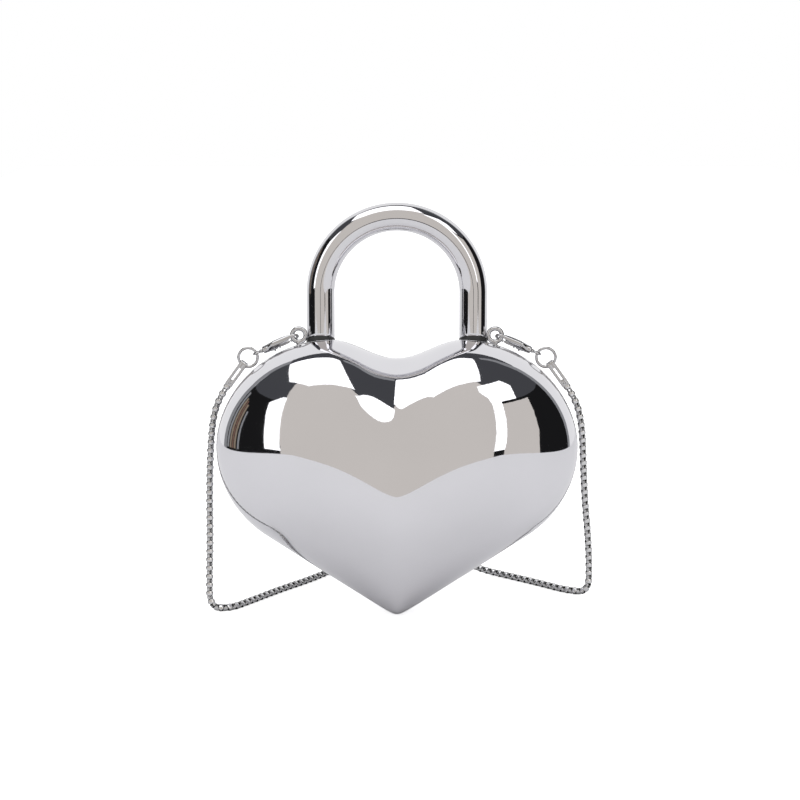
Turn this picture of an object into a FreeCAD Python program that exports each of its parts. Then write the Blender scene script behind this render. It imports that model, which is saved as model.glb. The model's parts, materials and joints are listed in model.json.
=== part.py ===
import FreeCAD
import Part
import math
import os
from FreeCAD import Vector

# Heart outline, front view, mm. The tip stands on z = 0 and the front faces -Y.
HEART_WIDTH = 180.0
HEART_DEPTH = 90.0
CROWN_Z = 137.8
CROWN_X = 33.0
NOTCH_DEPTH = 9.1
WIDEST_Z = 84.0
SHOULDER_POWER = 1.93
LOWER_HEIGHT = 54.0
TIP_APEX_Z = -2.5
TIP_ROUND = 2.6
SIDE_FLAT = 0.1

# Half shells, rims and linings.
WALL = 2.2
PARTING_GAP = 0.3
FIT_GAP = 0.1
LINING_THICKNESS = 0.8
RIM_WIDTH = 5.0
RIM_DEPTH = 2.4
RIM_DRAFT = 0.3
LINING_INSET = WALL + FIT_GAP + PARTING_GAP / 2
FRAME_INSET = LINING_INSET + LINING_THICKNESS + FIT_GAP

# Hinge at the tip.
HINGE_Z = 1.9
BARREL_RADIUS = 1.7
BARREL_HALF_LENGTH = 5.5
KNUCKLE_HALF_LENGTH = 1.8
KNUCKLE_GAP = 0.2
HINGE_PIN_RADIUS = 0.75
PIN_PRESS_GAP = 0.01
PIN_RUNNING_GAP = 0.04
HINGE_CLEARANCE = 0.5
TIP_CLEARANCE_RADIUS = 0.8
LEAF_THICKNESS = 0.8
LEAF_TOP_Z = 15.0
LEAF_SCREW_X = 3.3
LEAF_SCREW_Z = 11.0
LEAF_SCREW_RADIUS = 0.8
LEAF_SCREW_HEAD_RADIUS = 1.5
LEAF_SCREW_LENGTH = 6.0
BLOCK_HALF_WIDTH = 12.0
BLOCK_TOP_Z = 18.0
BLOCK_DEPTH = 9.0

# Closing magnets, set in the rims.
MAGNET_RADIUS = 2.0
MAGNET_THICKNESS = 1.5
MAGNET_X = 22.0
MAGNET_SINK = 0.1

# Arched handle and what holds it under the crowns.
HANDLE_RISE = 67.1
HANDLE_RADIUS = 7.0
HANDLE_WALL = 1.5
LEG_X = 38.0
LEG_Y = 10.5
PLATE_DROP = 17.0
PLATE_THICKNESS = 2.0
PLATE_HALF_WIDTH = 6.5
GROMMET_WIDTH = 1.0
GROMMET_PROUD = 0.5
COLLAR_WALL = 1.6
PLUG_LENGTH = 12.0
HANDLE_SCREW_RADIUS = 2.0
HANDLE_SCREW_LENGTH = 10.0
HANDLE_SCREW_HEAD_RADIUS = 3.5
HANDLE_SCREW_HEAD_HEIGHT = 2.6
SCREW_HOLE_GAP = 0.2

# Strap eyes on the shoulders.
STRAP_Y = 7.0
EYE_X = 48.8
EYE_RISE = 4.8
EYE_RADIUS = 4.0
EYE_HOLE_RADIUS = 2.3
EYE_THICKNESS = 1.8
EYE_FOOT = 0.5
STEM_RADIUS = 1.3
NUT_ACROSS_FLATS = 4.4
NUT_HEIGHT = 2.2
NUT_DROP = 3.9
STEM_PAST_NUT = 1.9

# Lobster claws: distances along the claw are measured from the eye's centre.
CLAW_DROP_DEG = 23.1
CLAW_ROLL_DEG = 210.0
CLAW_WIRE_RADIUS = 0.65
CLAW_ARM_OFFSET = 2.75
NOSE_AT = 0.7
HOOK_END_AT = 5.3
SPINE_START_AT = 5.0
SPINE_HALF_THICKNESS = 0.9
SPINE_RISE = 0.35
SHOULDER_AT = 12.4
BARREL_START_AT = 14.6
BARREL_END_AT = 19.4
CLAW_BARREL_RADIUS = 1.9
CLAW_BLOCK_HALF_THICKNESS = 1.25
GATE_PIVOT_AT = 14.0
GATE_PIN_RADIUS = 0.45
GATE_HEEL_RADIUS = 1.0
GATE_HALF_THICKNESS = 0.55
GATE_HALF_WIDTH = 0.6
GATE_SIDE_GAP = 0.1
GATE_OPEN_DEG = 20.0
GATE_OPEN_GAP = 0.3
GATE_END_GAP = 0.2
GATE_TAB_AT = 10.6
GATE_TAB_LENGTH = 1.4
GATE_TAB_REACH = 1.6

# Swivel eye, jump ring and end link at each end of the chain.
SWIVEL_AT = 22.7
SWIVEL_SHANK_RADIUS = 0.7
SWIVEL_SHANK_GAP = 0.05
SWIVEL_SHANK_START_AT = 16.2
SWIVEL_RING_RADIUS = 1.65
SWIVEL_WIRE_RADIUS = 0.45
JUMP_RING_RADIUS = 4.75
JUMP_WIRE_RADIUS = 0.75
JUMP_DROP_DEG = 27.5
JUMP_SLACK = 0.3
LINK_DROP_DEG = 54.0
LINK_LENGTH = 12.4
LINK_WIDTH = 4.4
LINK_STRIP = 0.6
LINK_INNER_RADIUS = 0.95
LINK_FOLD_RISE = 0.65
LINK_SLOT_WIDTH = 1.8
LINK_SLOT_START = 2.2
LINK_SLOT_END = 9.4
RIVET_RADIUS = 0.6
RIVET_AT = 10.9

# Box chain of the strap: free runs as routes of corner points, the rest as one neat coil.
CHAIN_DIAMETER = 3.7
CHAIN_PITCH = 4.2
TIE_THICKNESS = 0.45
TIE_WIDTH = 3.0
TIE_TURN_DEG = 90.0
COIL_X = 0.0
COIL_Y = 78.0
COIL_RADIUS = 26.0
COIL_START_DEG = 145.5
COIL_LAST_ARC_DEG = 99.0
COIL_HALF_TURNS_IN = 5
COIL_HALF_TURNS_OUT = 4
FIRST_RUN = 9.0
LAST_FLOOR_RUN = 16.0
CHAIN_FLOOR_Z = CHAIN_DIAMETER / 2
COIL_LOW_Z = CHAIN_FLOOR_Z + TIE_THICKNESS
COIL_HIGH_Z = COIL_LOW_Z + CHAIN_PITCH

BACK, FRONT = 1, -1
LEFT, RIGHT = -1, 1
FAR = 400.0


def box(x, y, z):
    """Box from three (low, high) pairs."""
    low = Vector(x[0], y[0], z[0])
    return Part.makeBox(x[1] - x[0], y[1] - y[0], z[1] - z[0], low)


def cylinder_x(radius, half_length, z):
    """Cylinder along X on the hinge plane y = 0."""
    return Part.makeCylinder(radius, 2 * half_length, Vector(-half_length, 0, z), Vector(1, 0, 0))


def slab(side, near, far):
    """Everything between two distances from the parting plane on one side."""
    return box((-FAR, FAR), tuple(sorted((side * near, side * far))), (-FAR, FAR))


# The heart is a pillow: every vertical section across X is an ellipse that spans the outline.
class Outline:
    """Heart outline moved in by inset, as top and bottom heights and half depth over x."""

    def __init__(self, inset):
        self.half_width = HEART_WIDTH / 2 - inset
        self.half_depth = HEART_DEPTH / 2 - inset
        self.crown = CROWN_Z - inset
        self.notch = CROWN_Z - NOTCH_DEPTH - inset
        self.lower = LOWER_HEIGHT - inset
        self.reach = self.half_width - CROWN_X
        self.apex = TIP_APEX_Z
        self.slope = self.flank_slope()
        self.apex = TIP_APEX_Z + inset * math.hypot(1, self.slope)
        self.slope = self.flank_slope()
        fall = self.apex + self.slope * CROWN_X - WIDEST_Z
        self.flank_end = CROWN_X - self.reach ** 2 * self.slope / fall

    def flank_slope(self):
        """Slope of the straight flank that runs from the apex and touches the round side."""
        drop = self.apex - WIDEST_Z
        a = CROWN_X ** 2 - self.reach ** 2
        b = 2 * CROWN_X * drop
        c = drop ** 2 - self.lower ** 2
        root = math.sqrt(b * b - 4 * a * c)
        return min(m for m in ((-b + root) / (2 * a), (-b - root) / (2 * a)) if m > 0)

    def top(self, x):
        x = abs(x)
        if x <= CROWN_X:
            dip = (self.crown - self.notch) / 2
            return self.crown - dip * (1 + math.cos(math.pi * x / CROWN_X))
        share = min(1.0, (x - CROWN_X) / self.reach)
        rise = (1 - share ** SHOULDER_POWER) ** (1 / SHOULDER_POWER)
        return WIDEST_Z + (self.crown - WIDEST_Z) * rise

    def bottom(self, x):
        x = abs(x)
        if x < self.flank_end:
            return self.apex + self.slope * math.hypot(x, TIP_ROUND)
        share = min(1.0, (x - CROWN_X) / self.reach)
        return WIDEST_Z - self.lower * math.sqrt(1 - share ** 2)

    def depth(self, x):
        return self.half_depth * math.sqrt(max(0.0, 1 - (x / self.half_width) ** 2))

    def surface_z(self, x, y):
        """Height of the upper surface at a place in plan."""
        middle = (self.top(x) + self.bottom(x)) / 2
        rise = (self.top(x) - self.bottom(x)) / 2
        return middle + rise * math.sqrt(1 - (y / self.depth(x)) ** 2)


# Heights of what stands on the heart or hangs under its surface.
HANDLE_TOP_Z = CROWN_Z + HANDLE_RISE
PLATE_TOP_Z = Outline(0).surface_z(LEG_X, LEG_Y) - PLATE_DROP
EYE_FOOT_Z = Outline(0).surface_z(EYE_X, STRAP_Y)
EYE_Z = EYE_FOOT_Z + EYE_RISE
NUT_TOP_Z = EYE_FOOT_Z - NUT_DROP
STEM_BOTTOM_Z = NUT_TOP_Z - NUT_HEIGHT - STEM_PAST_NUT


def stations(outline, outer=14, inner=12):
    """Places across X where the sections are worked out, closer together at side and tip."""
    start = math.acos(1 - SIDE_FLAT / outline.reach)
    turns = [start + (math.pi / 2 - start) * i / outer for i in range(outer)]
    places = [CROWN_X + outline.reach * math.cos(turn) for turn in turns]
    places += [CROWN_X * (1 - i / inner) ** 1.4 for i in range(inner)]
    return places + [0.0] + [-x for x in reversed(places)]


def outline_curves(inset, flat):
    """Upper and lower curve with the same parameters; y holds the half depth unless flat."""
    outline = Outline(inset)
    places = stations(outline)
    depths = [0.0 if flat else outline.depth(x) for x in places]
    tops = [Vector(x, y, outline.top(x)) for x, y in zip(places, depths)]
    bottoms = [Vector(x, y, outline.bottom(x)) for x, y in zip(places, depths)]
    along = [0.0]
    for i in range(1, len(places)):
        step = tops[i].distanceToPoint(tops[i - 1]) + bottoms[i].distanceToPoint(bottoms[i - 1])
        along.append(along[-1] + step)
    along = [value / along[-1] for value in along]
    curves = []
    for points in (tops, bottoms):
        curve = Part.BSplineCurve()
        curve.interpolate(Points=points, Parameters=along)
        curves.append(curve)
    return curves


def outline_plate(inset, side, near, far):
    """Straight plate of the outline moved in by inset, between two distances from the parting plane."""
    edges = [curve.toShape() for curve in outline_curves(inset, True)]
    for end in (0, 1):
        edges.append(Part.makeLine(edges[0].Vertexes[end].Point, edges[1].Vertexes[end].Point))
    face = Part.Face(Part.Wire(Part.__sortEdges__(edges)))
    face.translate(Vector(0, side * near, 0))
    return face.extrude(Vector(0, side * (far - near), 0))


def pillow_half(inset, side, shift):
    """Solid half of the heart moved in by inset, its flat face at distance shift."""
    top_curve, bottom_curve = outline_curves(inset, False)
    rows = []
    for high, low in zip(top_curve.getPoles(), bottom_curve.getPoles()):
        x, y = high.x, side * high.y
        middle = (high.z + low.z) / 2
        heights = ((0, low.z), (y, low.z), (y, middle), (y, high.z), (0, high.z))
        rows.append([Vector(x, depth, z) for depth, z in heights])
    corner = math.sqrt(0.5)
    weights = [[1, corner, 1, corner, 1] for _ in rows]
    surface = Part.BSplineSurface()
    surface.buildFromPolesMultsKnots(
        rows, top_curve.getMultiplicities(), [3, 2, 3], top_curve.getKnots(), [0, 0.5, 1],
        False, False, 3, 2, weights)
    low_edge = surface.vIso(0).toShape()
    high_edge = surface.vIso(1).toShape()
    faces = [surface.toShape()]
    closing = []
    for u in (0, 1):
        arc = surface.uIso(u).toShape()
        closing.append(Part.makeLine(arc.Vertexes[0].Point, arc.Vertexes[1].Point))
        faces.append(Part.Face(Part.Wire([arc, closing[-1]])))
    faces.append(Part.Face(Part.Wire(Part.__sortEdges__([low_edge, high_edge] + closing))))
    shell = Part.Shell(faces)
    shell.sewShape()
    solid = Part.Solid(shell)
    if solid.Volume < 0:
        solid.reverse()
    solid.translate(Vector(0, side * shift, 0))
    return solid


# Hinge: a barrel along X just above the floor, with two back knuckles and one front knuckle.
def hinge_space():
    """Room that the turning barrel and the tips of both shells need."""
    wide = cylinder_x(BARREL_RADIUS + HINGE_CLEARANCE, BARREL_HALF_LENGTH + 0.3, HINGE_Z)
    return wide.fuse(cylinder_x(TIP_CLEARANCE_RADIUS, 2 * BARREL_HALF_LENGTH, HINGE_Z))


def leaf_box(side, gap):
    """Flat plate of one leaf, or its pocket when gap is above zero."""
    near = PARTING_GAP / 2
    x = (-BARREL_HALF_LENGTH - gap, BARREL_HALF_LENGTH + gap)
    y = tuple(sorted((side * (near - gap), side * (near + LEAF_THICKNESS + gap))))
    return box(x, y, (HINGE_Z, LEAF_TOP_Z + gap))


def leaf_screw(side, x, gap):
    """Countersunk screw through a leaf, or its hole when gap is above zero."""
    near = PARTING_GAP / 2
    start = Vector(x, side * near, LEAF_SCREW_Z)
    way = Vector(0, side, 0)
    head = Part.makeCone(
        LEAF_SCREW_HEAD_RADIUS + gap, LEAF_SCREW_RADIUS + gap, LEAF_THICKNESS, start, way)
    shank = Part.makeCylinder(LEAF_SCREW_RADIUS + gap, LEAF_SCREW_LENGTH + gap, start, way)
    return head.fuse(shank)


def hinge_leaf(side):
    """Leaf with its knuckles; the back leaf has the two outer knuckles."""
    inner = KNUCKLE_HALF_LENGTH
    if side == BACK:
        spans = ((-BARREL_HALF_LENGTH, -inner - KNUCKLE_GAP), (inner + KNUCKLE_GAP, BARREL_HALF_LENGTH))
        gap = PIN_PRESS_GAP
    else:
        spans = ((-inner, inner),)
        gap = PIN_RUNNING_GAP
    clear = BARREL_RADIUS + KNUCKLE_GAP
    leaf = leaf_box(side, 0).cut(cylinder_x(clear, FAR, HINGE_Z))
    for low, high in spans:
        start = Vector(low, 0, HINGE_Z)
        knuckle = Part.makeCylinder(BARREL_RADIUS, high - low, start, Vector(1, 0, 0))
        near = PARTING_GAP / 2
        y = tuple(sorted((side * near, side * (near + LEAF_THICKNESS))))
        web = box((low, high), y, (HINGE_Z, HINGE_Z + clear + LEAF_THICKNESS))
        leaf = leaf.fuse(knuckle).fuse(web)
    leaf = leaf.cut(cylinder_x(HINGE_PIN_RADIUS + gap, FAR, HINGE_Z))
    for x in (-LEAF_SCREW_X, LEAF_SCREW_X):
        leaf = leaf.cut(leaf_screw(side, x, FIT_GAP / 2))
    return leaf.removeSplitter()


def hinge_block(side):
    """Solid filling of the tip that takes the leaf and its screws."""
    near = PARTING_GAP / 2
    block = pillow_half(FRAME_INSET, side, near)
    block = block.common(slab(side, 0, BLOCK_DEPTH))
    block = block.common(box((-BLOCK_HALF_WIDTH, BLOCK_HALF_WIDTH), (-FAR, FAR), (-FAR, BLOCK_TOP_Z)))
    block = block.cut(hinge_space()).cut(leaf_box(side, FIT_GAP / 2))
    for x in (-LEAF_SCREW_X, LEAF_SCREW_X):
        block = block.cut(leaf_screw(side, x, FIT_GAP / 2))
    return block


# Shells, rims and linings of both halves.
def magnet_disc(side, x, gap):
    """Disc magnet in a rim, or its pocket when gap is above zero."""
    z = Outline(FRAME_INSET + RIM_DRAFT + RIM_WIDTH / 2).top(x)
    near = PARTING_GAP / 2 + (MAGNET_SINK if gap == 0 else -1)
    far = PARTING_GAP / 2 + MAGNET_SINK + MAGNET_THICKNESS + gap
    start = Vector(x, side * near, z)
    return Part.makeCylinder(MAGNET_RADIUS + gap, far - near, start, Vector(0, side, 0))


def half_shell(side):
    """Outer shell of one half, flat where the bag stands."""
    shell = pillow_half(0, side, PARTING_GAP / 2).cut(pillow_half(WALL, side, 0))
    shell = shell.cut(box((-FAR, FAR), (-FAR, FAR), (-FAR, 0)))
    return shell.cut(hinge_space()).cut(leaf_box(side, FIT_GAP / 2))


def half_lining(side):
    """Fabric skin all over the inside of the shell, its edge held under the rim."""
    lining = pillow_half(LINING_INSET, side, PARTING_GAP / 2)
    lining = lining.cut(pillow_half(LINING_INSET + LINING_THICKNESS, side, 0))
    return lining.cut(hinge_space()).cut(leaf_box(side, FIT_GAP / 2))


def half_rim(side):
    """Flat frame around the opening, over the edge of the lining."""
    near = PARTING_GAP / 2
    inset = FRAME_INSET + RIM_DRAFT
    ring = outline_plate(inset, side, near, near + RIM_DEPTH)
    ring = ring.cut(outline_plate(inset + RIM_WIDTH, side, near - 1, near + RIM_DEPTH + 1))
    reach = BLOCK_HALF_WIDTH + FIT_GAP
    ring = ring.cut(box((-reach, reach), (-FAR, FAR), (-FAR, BLOCK_TOP_Z + FIT_GAP)))
    for x in (-MAGNET_X, MAGNET_X):
        ring = ring.cut(magnet_disc(side, x, FIT_GAP / 2))
    return ring


# Handle: a bent tube whose legs pass the shell and stand on a plate under it.
def leg_cylinder(side, radius, low, high):
    return Part.makeCylinder(radius, high - low, Vector(side * LEG_X, LEG_Y, low))


def handle_bar(radius):
    """Solid bar along the handle's centre line."""
    arch_z = HANDLE_TOP_Z - HANDLE_RADIUS - LEG_X
    feet = [Vector(side * LEG_X, LEG_Y, PLATE_TOP_Z) for side in (LEFT, RIGHT)]
    springs = [Vector(side * LEG_X, LEG_Y, arch_z) for side in (LEFT, RIGHT)]
    arch = Part.Arc(springs[0], Vector(0, LEG_Y, arch_z + LEG_X), springs[1])
    path = Part.Wire([Part.makeLine(feet[0], springs[0]), arch.toShape(), Part.makeLine(springs[1], feet[1])])
    circle = Part.Wire(Part.Circle(feet[0], Vector(0, 0, 1), radius).toShape())
    return path.makePipeShell([circle], True, False)


def handle_tube():
    return handle_bar(HANDLE_RADIUS).cut(handle_bar(HANDLE_RADIUS - HANDLE_WALL))


def handle_grommet(side):
    """Rubber sleeve in the shell's hole, standing a little proud of the surface."""
    low = PLATE_TOP_Z
    outer = leg_cylinder(side, HANDLE_RADIUS + FIT_GAP / 2 + GROMMET_WIDTH, low, CROWN_Z + 5)
    sleeve = outer.cut(leg_cylinder(side, HANDLE_RADIUS + FIT_GAP / 2, low, CROWN_Z + 5))
    sleeve = sleeve.common(pillow_half(-GROMMET_PROUD, BACK, PARTING_GAP / 2))
    return sleeve.cut(pillow_half(WALL, BACK, 0))


def handle_collar(side):
    """Spacer tube between the shell and the plate, flat where it passes the rim."""
    outer = leg_cylinder(side, HANDLE_RADIUS + FIT_GAP / 2 + COLLAR_WALL, PLATE_TOP_Z, CROWN_Z)
    collar = outer.cut(leg_cylinder(side, HANDLE_RADIUS + FIT_GAP / 2, PLATE_TOP_Z, CROWN_Z))
    collar = collar.common(pillow_half(LINING_INSET, BACK, PARTING_GAP / 2))
    return collar.common(slab(BACK, PARTING_GAP / 2 + RIM_DEPTH + FIT_GAP, FAR))


def handle_plug(side):
    """Threaded plug in the end of a leg."""
    plug = leg_cylinder(
        side, HANDLE_RADIUS - HANDLE_WALL - FIT_GAP / 2, PLATE_TOP_Z, PLATE_TOP_Z + PLUG_LENGTH)
    return plug.cut(leg_cylinder(side, HANDLE_SCREW_RADIUS + FIT_GAP / 2, PLATE_TOP_Z - 1, FAR))


def handle_screw(side):
    under = PLATE_TOP_Z - PLATE_THICKNESS
    head = leg_cylinder(side, HANDLE_SCREW_HEAD_RADIUS, under - HANDLE_SCREW_HEAD_HEIGHT, under)
    return head.fuse(leg_cylinder(side, HANDLE_SCREW_RADIUS, under, PLATE_TOP_Z + HANDLE_SCREW_LENGTH))


def handle_plate():
    """Steel bar under both legs, with round ends."""
    low = PLATE_TOP_Z - PLATE_THICKNESS
    y = (LEG_Y - PLATE_HALF_WIDTH, LEG_Y + PLATE_HALF_WIDTH)
    plate = box((-LEG_X, LEG_X), y, (low, PLATE_TOP_Z))
    for side in (LEFT, RIGHT):
        plate = plate.fuse(leg_cylinder(side, PLATE_HALF_WIDTH, low, PLATE_TOP_Z))
    for side in (LEFT, RIGHT):
        plate = plate.cut(leg_cylinder(side, HANDLE_SCREW_RADIUS + SCREW_HOLE_GAP, 0, FAR))
    return plate.removeSplitter()


# Strap hardware is worked out for the left side and mirrored for the right.
def mirrored(shape, side):
    if side == LEFT:
        return shape
    return shape.mirror(Vector(0, 0, 0), Vector(1, 0, 0))


def strap_eye():
    """Ring on a stem that passes through the shell."""
    y = Vector(0, 1, 0)
    start = Vector(-EYE_X, STRAP_Y - EYE_THICKNESS / 2, EYE_Z)
    ring = Part.makeCylinder(EYE_RADIUS, EYE_THICKNESS, start, y)
    stem_top = EYE_Z - EYE_RADIUS + EYE_FOOT
    stem = Part.makeCylinder(
        STEM_RADIUS, stem_top - STEM_BOTTOM_Z, Vector(-EYE_X, STRAP_Y, STEM_BOTTOM_Z))
    eye = ring.fuse(stem)
    return eye.cut(Part.makeCylinder(EYE_HOLE_RADIUS, EYE_THICKNESS, start, y))


def stem_hole():
    return Part.makeCylinder(STEM_RADIUS + FIT_GAP / 2, FAR, Vector(-EYE_X, STRAP_Y, STEM_BOTTOM_Z))


def eye_nut():
    corner = NUT_ACROSS_FLATS / math.sqrt(3)
    centre = Vector(-EYE_X, STRAP_Y, NUT_TOP_Z - NUT_HEIGHT)
    turns = [math.radians(60 * i) for i in range(7)]
    ring = [centre + Vector(corner * math.cos(t), corner * math.sin(t), 0) for t in turns]
    nut = Part.Face(Part.makePolygon(ring)).extrude(Vector(0, 0, NUT_HEIGHT))
    return nut.cut(stem_hole())


# Claw pieces are drawn in a frame of their own: x along the claw, y across it, z through it.
def claw_placement(roll_deg):
    """Frame at the eye's centre that runs down the left shoulder, rolled about its own length."""
    drop = math.radians(CLAW_DROP_DEG)
    along = Vector(-math.cos(drop), 0, -math.sin(drop))
    across = Vector(0, 1, 0)
    frame = FreeCAD.Rotation(along, across, along.cross(across), "XYZ")
    roll = FreeCAD.Rotation(Vector(1, 0, 0), roll_deg)
    return FreeCAD.Placement(Vector(-EYE_X, STRAP_Y, EYE_Z), frame.multiply(roll))


def placed(shape, roll_deg):
    shape = shape.copy()
    shape.Placement = claw_placement(roll_deg).multiply(shape.Placement)
    return shape


def claw_point(at):
    """Place on the claw's long axis in the common frame."""
    return claw_placement(0).multVec(Vector(at, 0, 0))


def round_wire(points, radius, middle):
    """Round bar: straight to the first bend, around it through middle, straight to the end."""
    start, bend_start, bend_end, end = points
    bend = Part.Arc(bend_start, middle, bend_end).toShape()
    path = Part.Wire([Part.makeLine(start, bend_start), bend, Part.makeLine(bend_end, end)])
    circle = Part.Wire(Part.Circle(start, bend_start.sub(start), radius).toShape())
    return path.makePipeShell([circle], True, False)


def claw_body():
    """Hook, broad spine, forked shoulder and barrel in one casting."""
    offset = CLAW_ARM_OFFSET
    bend_at = NOSE_AT + offset
    hook = round_wire(
        (Vector(SHOULDER_AT + 0.6, offset, 0), Vector(bend_at, offset, 0), Vector(bend_at, -offset, 0),
         Vector(HOOK_END_AT, -offset, 0)), CLAW_WIRE_RADIUS, Vector(NOSE_AT, 0, 0))
    half = offset + CLAW_WIRE_RADIUS
    thick = CLAW_BLOCK_HALF_THICKNESS
    outline = [
        Vector(SHOULDER_AT, half, -thick), Vector(BARREL_START_AT, half, -thick),
        Vector(BARREL_START_AT + half - CLAW_BARREL_RADIUS, CLAW_BARREL_RADIUS, -thick),
        Vector(BARREL_START_AT + half - CLAW_BARREL_RADIUS, -CLAW_BARREL_RADIUS, -thick),
        Vector(BARREL_START_AT, -half, -thick), Vector(SHOULDER_AT, -half, -thick),
    ]
    block = Part.Face(Part.makePolygon(outline + outline[:1])).extrude(Vector(0, 0, 2 * thick))
    barrel = Part.makeCylinder(
        CLAW_BARREL_RADIUS, BARREL_END_AT - BARREL_START_AT, Vector(BARREL_START_AT, 0, 0), Vector(1, 0, 0))
    swing = math.radians(GATE_OPEN_DEG)

    def open_gate(at):
        """Height of the open gate's inner edge above its closed centre line."""
        return (GATE_PIVOT_AT - at) * math.tan(swing) + GATE_HALF_WIDTH / math.cos(swing)

    spine_end = SHOULDER_AT + CLAW_WIRE_RADIUS
    spine_low = SPINE_START_AT + 2 * CLAW_WIRE_RADIUS
    deep = SPINE_HALF_THICKNESS
    web = [
        Vector(SPINE_START_AT, offset + SPINE_RISE, -deep), Vector(spine_end, offset + SPINE_RISE, -deep),
        Vector(spine_end, -offset + open_gate(spine_end) + GATE_OPEN_GAP, -deep),
        Vector(spine_low, -offset + open_gate(spine_low) + GATE_OPEN_GAP, -deep),
        Vector(SPINE_START_AT, offset - CLAW_WIRE_RADIUS - SPINE_RISE, -deep),
    ]
    spine = Part.Face(Part.makePolygon(web + web[:1])).extrude(Vector(0, 0, 2 * deep))
    body = hook.fuse(block).fuse(barrel).fuse(spine)
    slot = GATE_HALF_THICKNESS + GATE_SIDE_GAP
    room = GATE_HEEL_RADIUS + GATE_SIDE_GAP
    rise = max(room, open_gate(SHOULDER_AT) + 2 * GATE_SIDE_GAP)
    body = body.cut(box((SHOULDER_AT - 1, GATE_PIVOT_AT + room), (-FAR, -offset + rise), (-slot, slot)))
    body = body.cut(gate_pin_cylinder(PIN_PRESS_GAP, thick + 1))
    bore = SWIVEL_SHANK_RADIUS + SWIVEL_SHANK_GAP
    start = Vector(SWIVEL_SHANK_START_AT - SWIVEL_SHANK_GAP, 0, 0)
    return body.cut(Part.makeCylinder(bore, FAR, start, Vector(1, 0, 0)))


def gate_pin_cylinder(gap, half_length):
    start = Vector(GATE_PIVOT_AT, -CLAW_ARM_OFFSET, -half_length)
    return Part.makeCylinder(GATE_PIN_RADIUS + gap, 2 * half_length, start)


def claw_gate():
    """Sprung bar that closes the hook, with a thumb tab."""
    offset = CLAW_ARM_OFFSET
    thick = GATE_HALF_THICKNESS
    bar = box(
        (HOOK_END_AT + GATE_END_GAP, GATE_PIVOT_AT), (-offset - GATE_HALF_WIDTH, -offset + GATE_HALF_WIDTH),
        (-thick, thick))
    heel = Part.makeCylinder(GATE_HEEL_RADIUS, 2 * thick, Vector(GATE_PIVOT_AT, -offset, -thick))
    tab = box(
        (GATE_TAB_AT, GATE_TAB_AT + GATE_TAB_LENGTH), (-offset - GATE_HALF_WIDTH - GATE_TAB_REACH, -offset),
        (-thick, thick))
    gate = bar.fuse(heel).fuse(tab).removeSplitter()
    return gate.cut(gate_pin_cylinder(PIN_RUNNING_GAP, thick + 1))


def swivel_eye():
    """Small ring on a shank that turns in the claw's barrel."""
    ring = Part.makeTorus(SWIVEL_RING_RADIUS, SWIVEL_WIRE_RADIUS, Vector(SWIVEL_AT, 0, 0))
    end = SWIVEL_AT - SWIVEL_RING_RADIUS
    start = Vector(SWIVEL_SHANK_START_AT, 0, 0)
    shank = Part.makeCylinder(SWIVEL_SHANK_RADIUS, end - SWIVEL_SHANK_START_AT, start, Vector(1, 0, 0))
    return ring.fuse(shank)


def jump_ring_centre():
    drop = math.radians(JUMP_DROP_DEG)
    reach = JUMP_RING_RADIUS + JUMP_SLACK
    return claw_point(SWIVEL_AT) + Vector(-math.cos(drop), 0, -math.sin(drop)) * reach


def jump_ring():
    return Part.makeTorus(JUMP_RING_RADIUS, JUMP_WIRE_RADIUS, jump_ring_centre(), Vector(0, 1, 0))


def mirrored_vector(vector):
    return Vector(-vector.x, vector.y, vector.z)


# The end link is a folded strip: it hangs on the jump ring and holds the chain's last link on a rivet.
def link_way():
    drop = math.radians(LINK_DROP_DEG)
    return Vector(-math.cos(drop), 0, -math.sin(drop))


def link_origin():
    return jump_ring_centre() + link_way() * JUMP_RING_RADIUS


def link_placement():
    across = Vector(0, 1, 0)
    frame = FreeCAD.Rotation(link_way(), across, link_way().cross(across), "XYZ")
    return FreeCAD.Placement(link_origin(), frame)


def link_rivet_cylinder(gap):
    half = LINK_INNER_RADIUS + LINK_STRIP
    return Part.makeCylinder(RIVET_RADIUS + gap, 2 * half, Vector(RIVET_AT, -half, 0), Vector(0, 1, 0))


def end_link():
    outer = LINK_INNER_RADIUS + LINK_STRIP
    fold = -LINK_FOLD_RISE
    low, high = -LINK_WIDTH / 2, LINK_WIDTH / 2

    def tongue(radius, end):
        """Solid strip with a round top, as thick as twice the radius."""
        top = Part.makeCylinder(radius, high - low, Vector(fold, 0, low))
        return top.fuse(box((fold, end), (-radius, radius), (low, high)))

    link = tongue(outer, LINK_LENGTH).cut(tongue(LINK_INNER_RADIUS, LINK_LENGTH + 1))
    slot = LINK_SLOT_WIDTH / 2
    link = link.cut(box((LINK_SLOT_START, LINK_SLOT_END), (-FAR, FAR), (-slot, slot)))
    return link.cut(link_rivet_cylinder(PIN_PRESS_GAP)).removeSplitter()


def on_link(shape):
    shape.Placement = link_placement().multiply(shape.Placement)
    return shape


# Chain: the free runs follow corner points; each corner is an arc that touches both straight runs.
def chain_end(side):
    """Place where the chain leaves its end link."""
    end = link_placement().multVec(Vector(LINK_LENGTH, 0, 0))
    return end if side == LEFT else mirrored_vector(end)


def coil_axis():
    turn = math.radians(COIL_START_DEG)
    return Vector(math.cos(turn), math.sin(turn), 0)


def clockwise(direction):
    """Horizontal direction of travel on a clockwise circle at the given outward direction."""
    return Vector(direction.y, -direction.x, 0)


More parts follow.
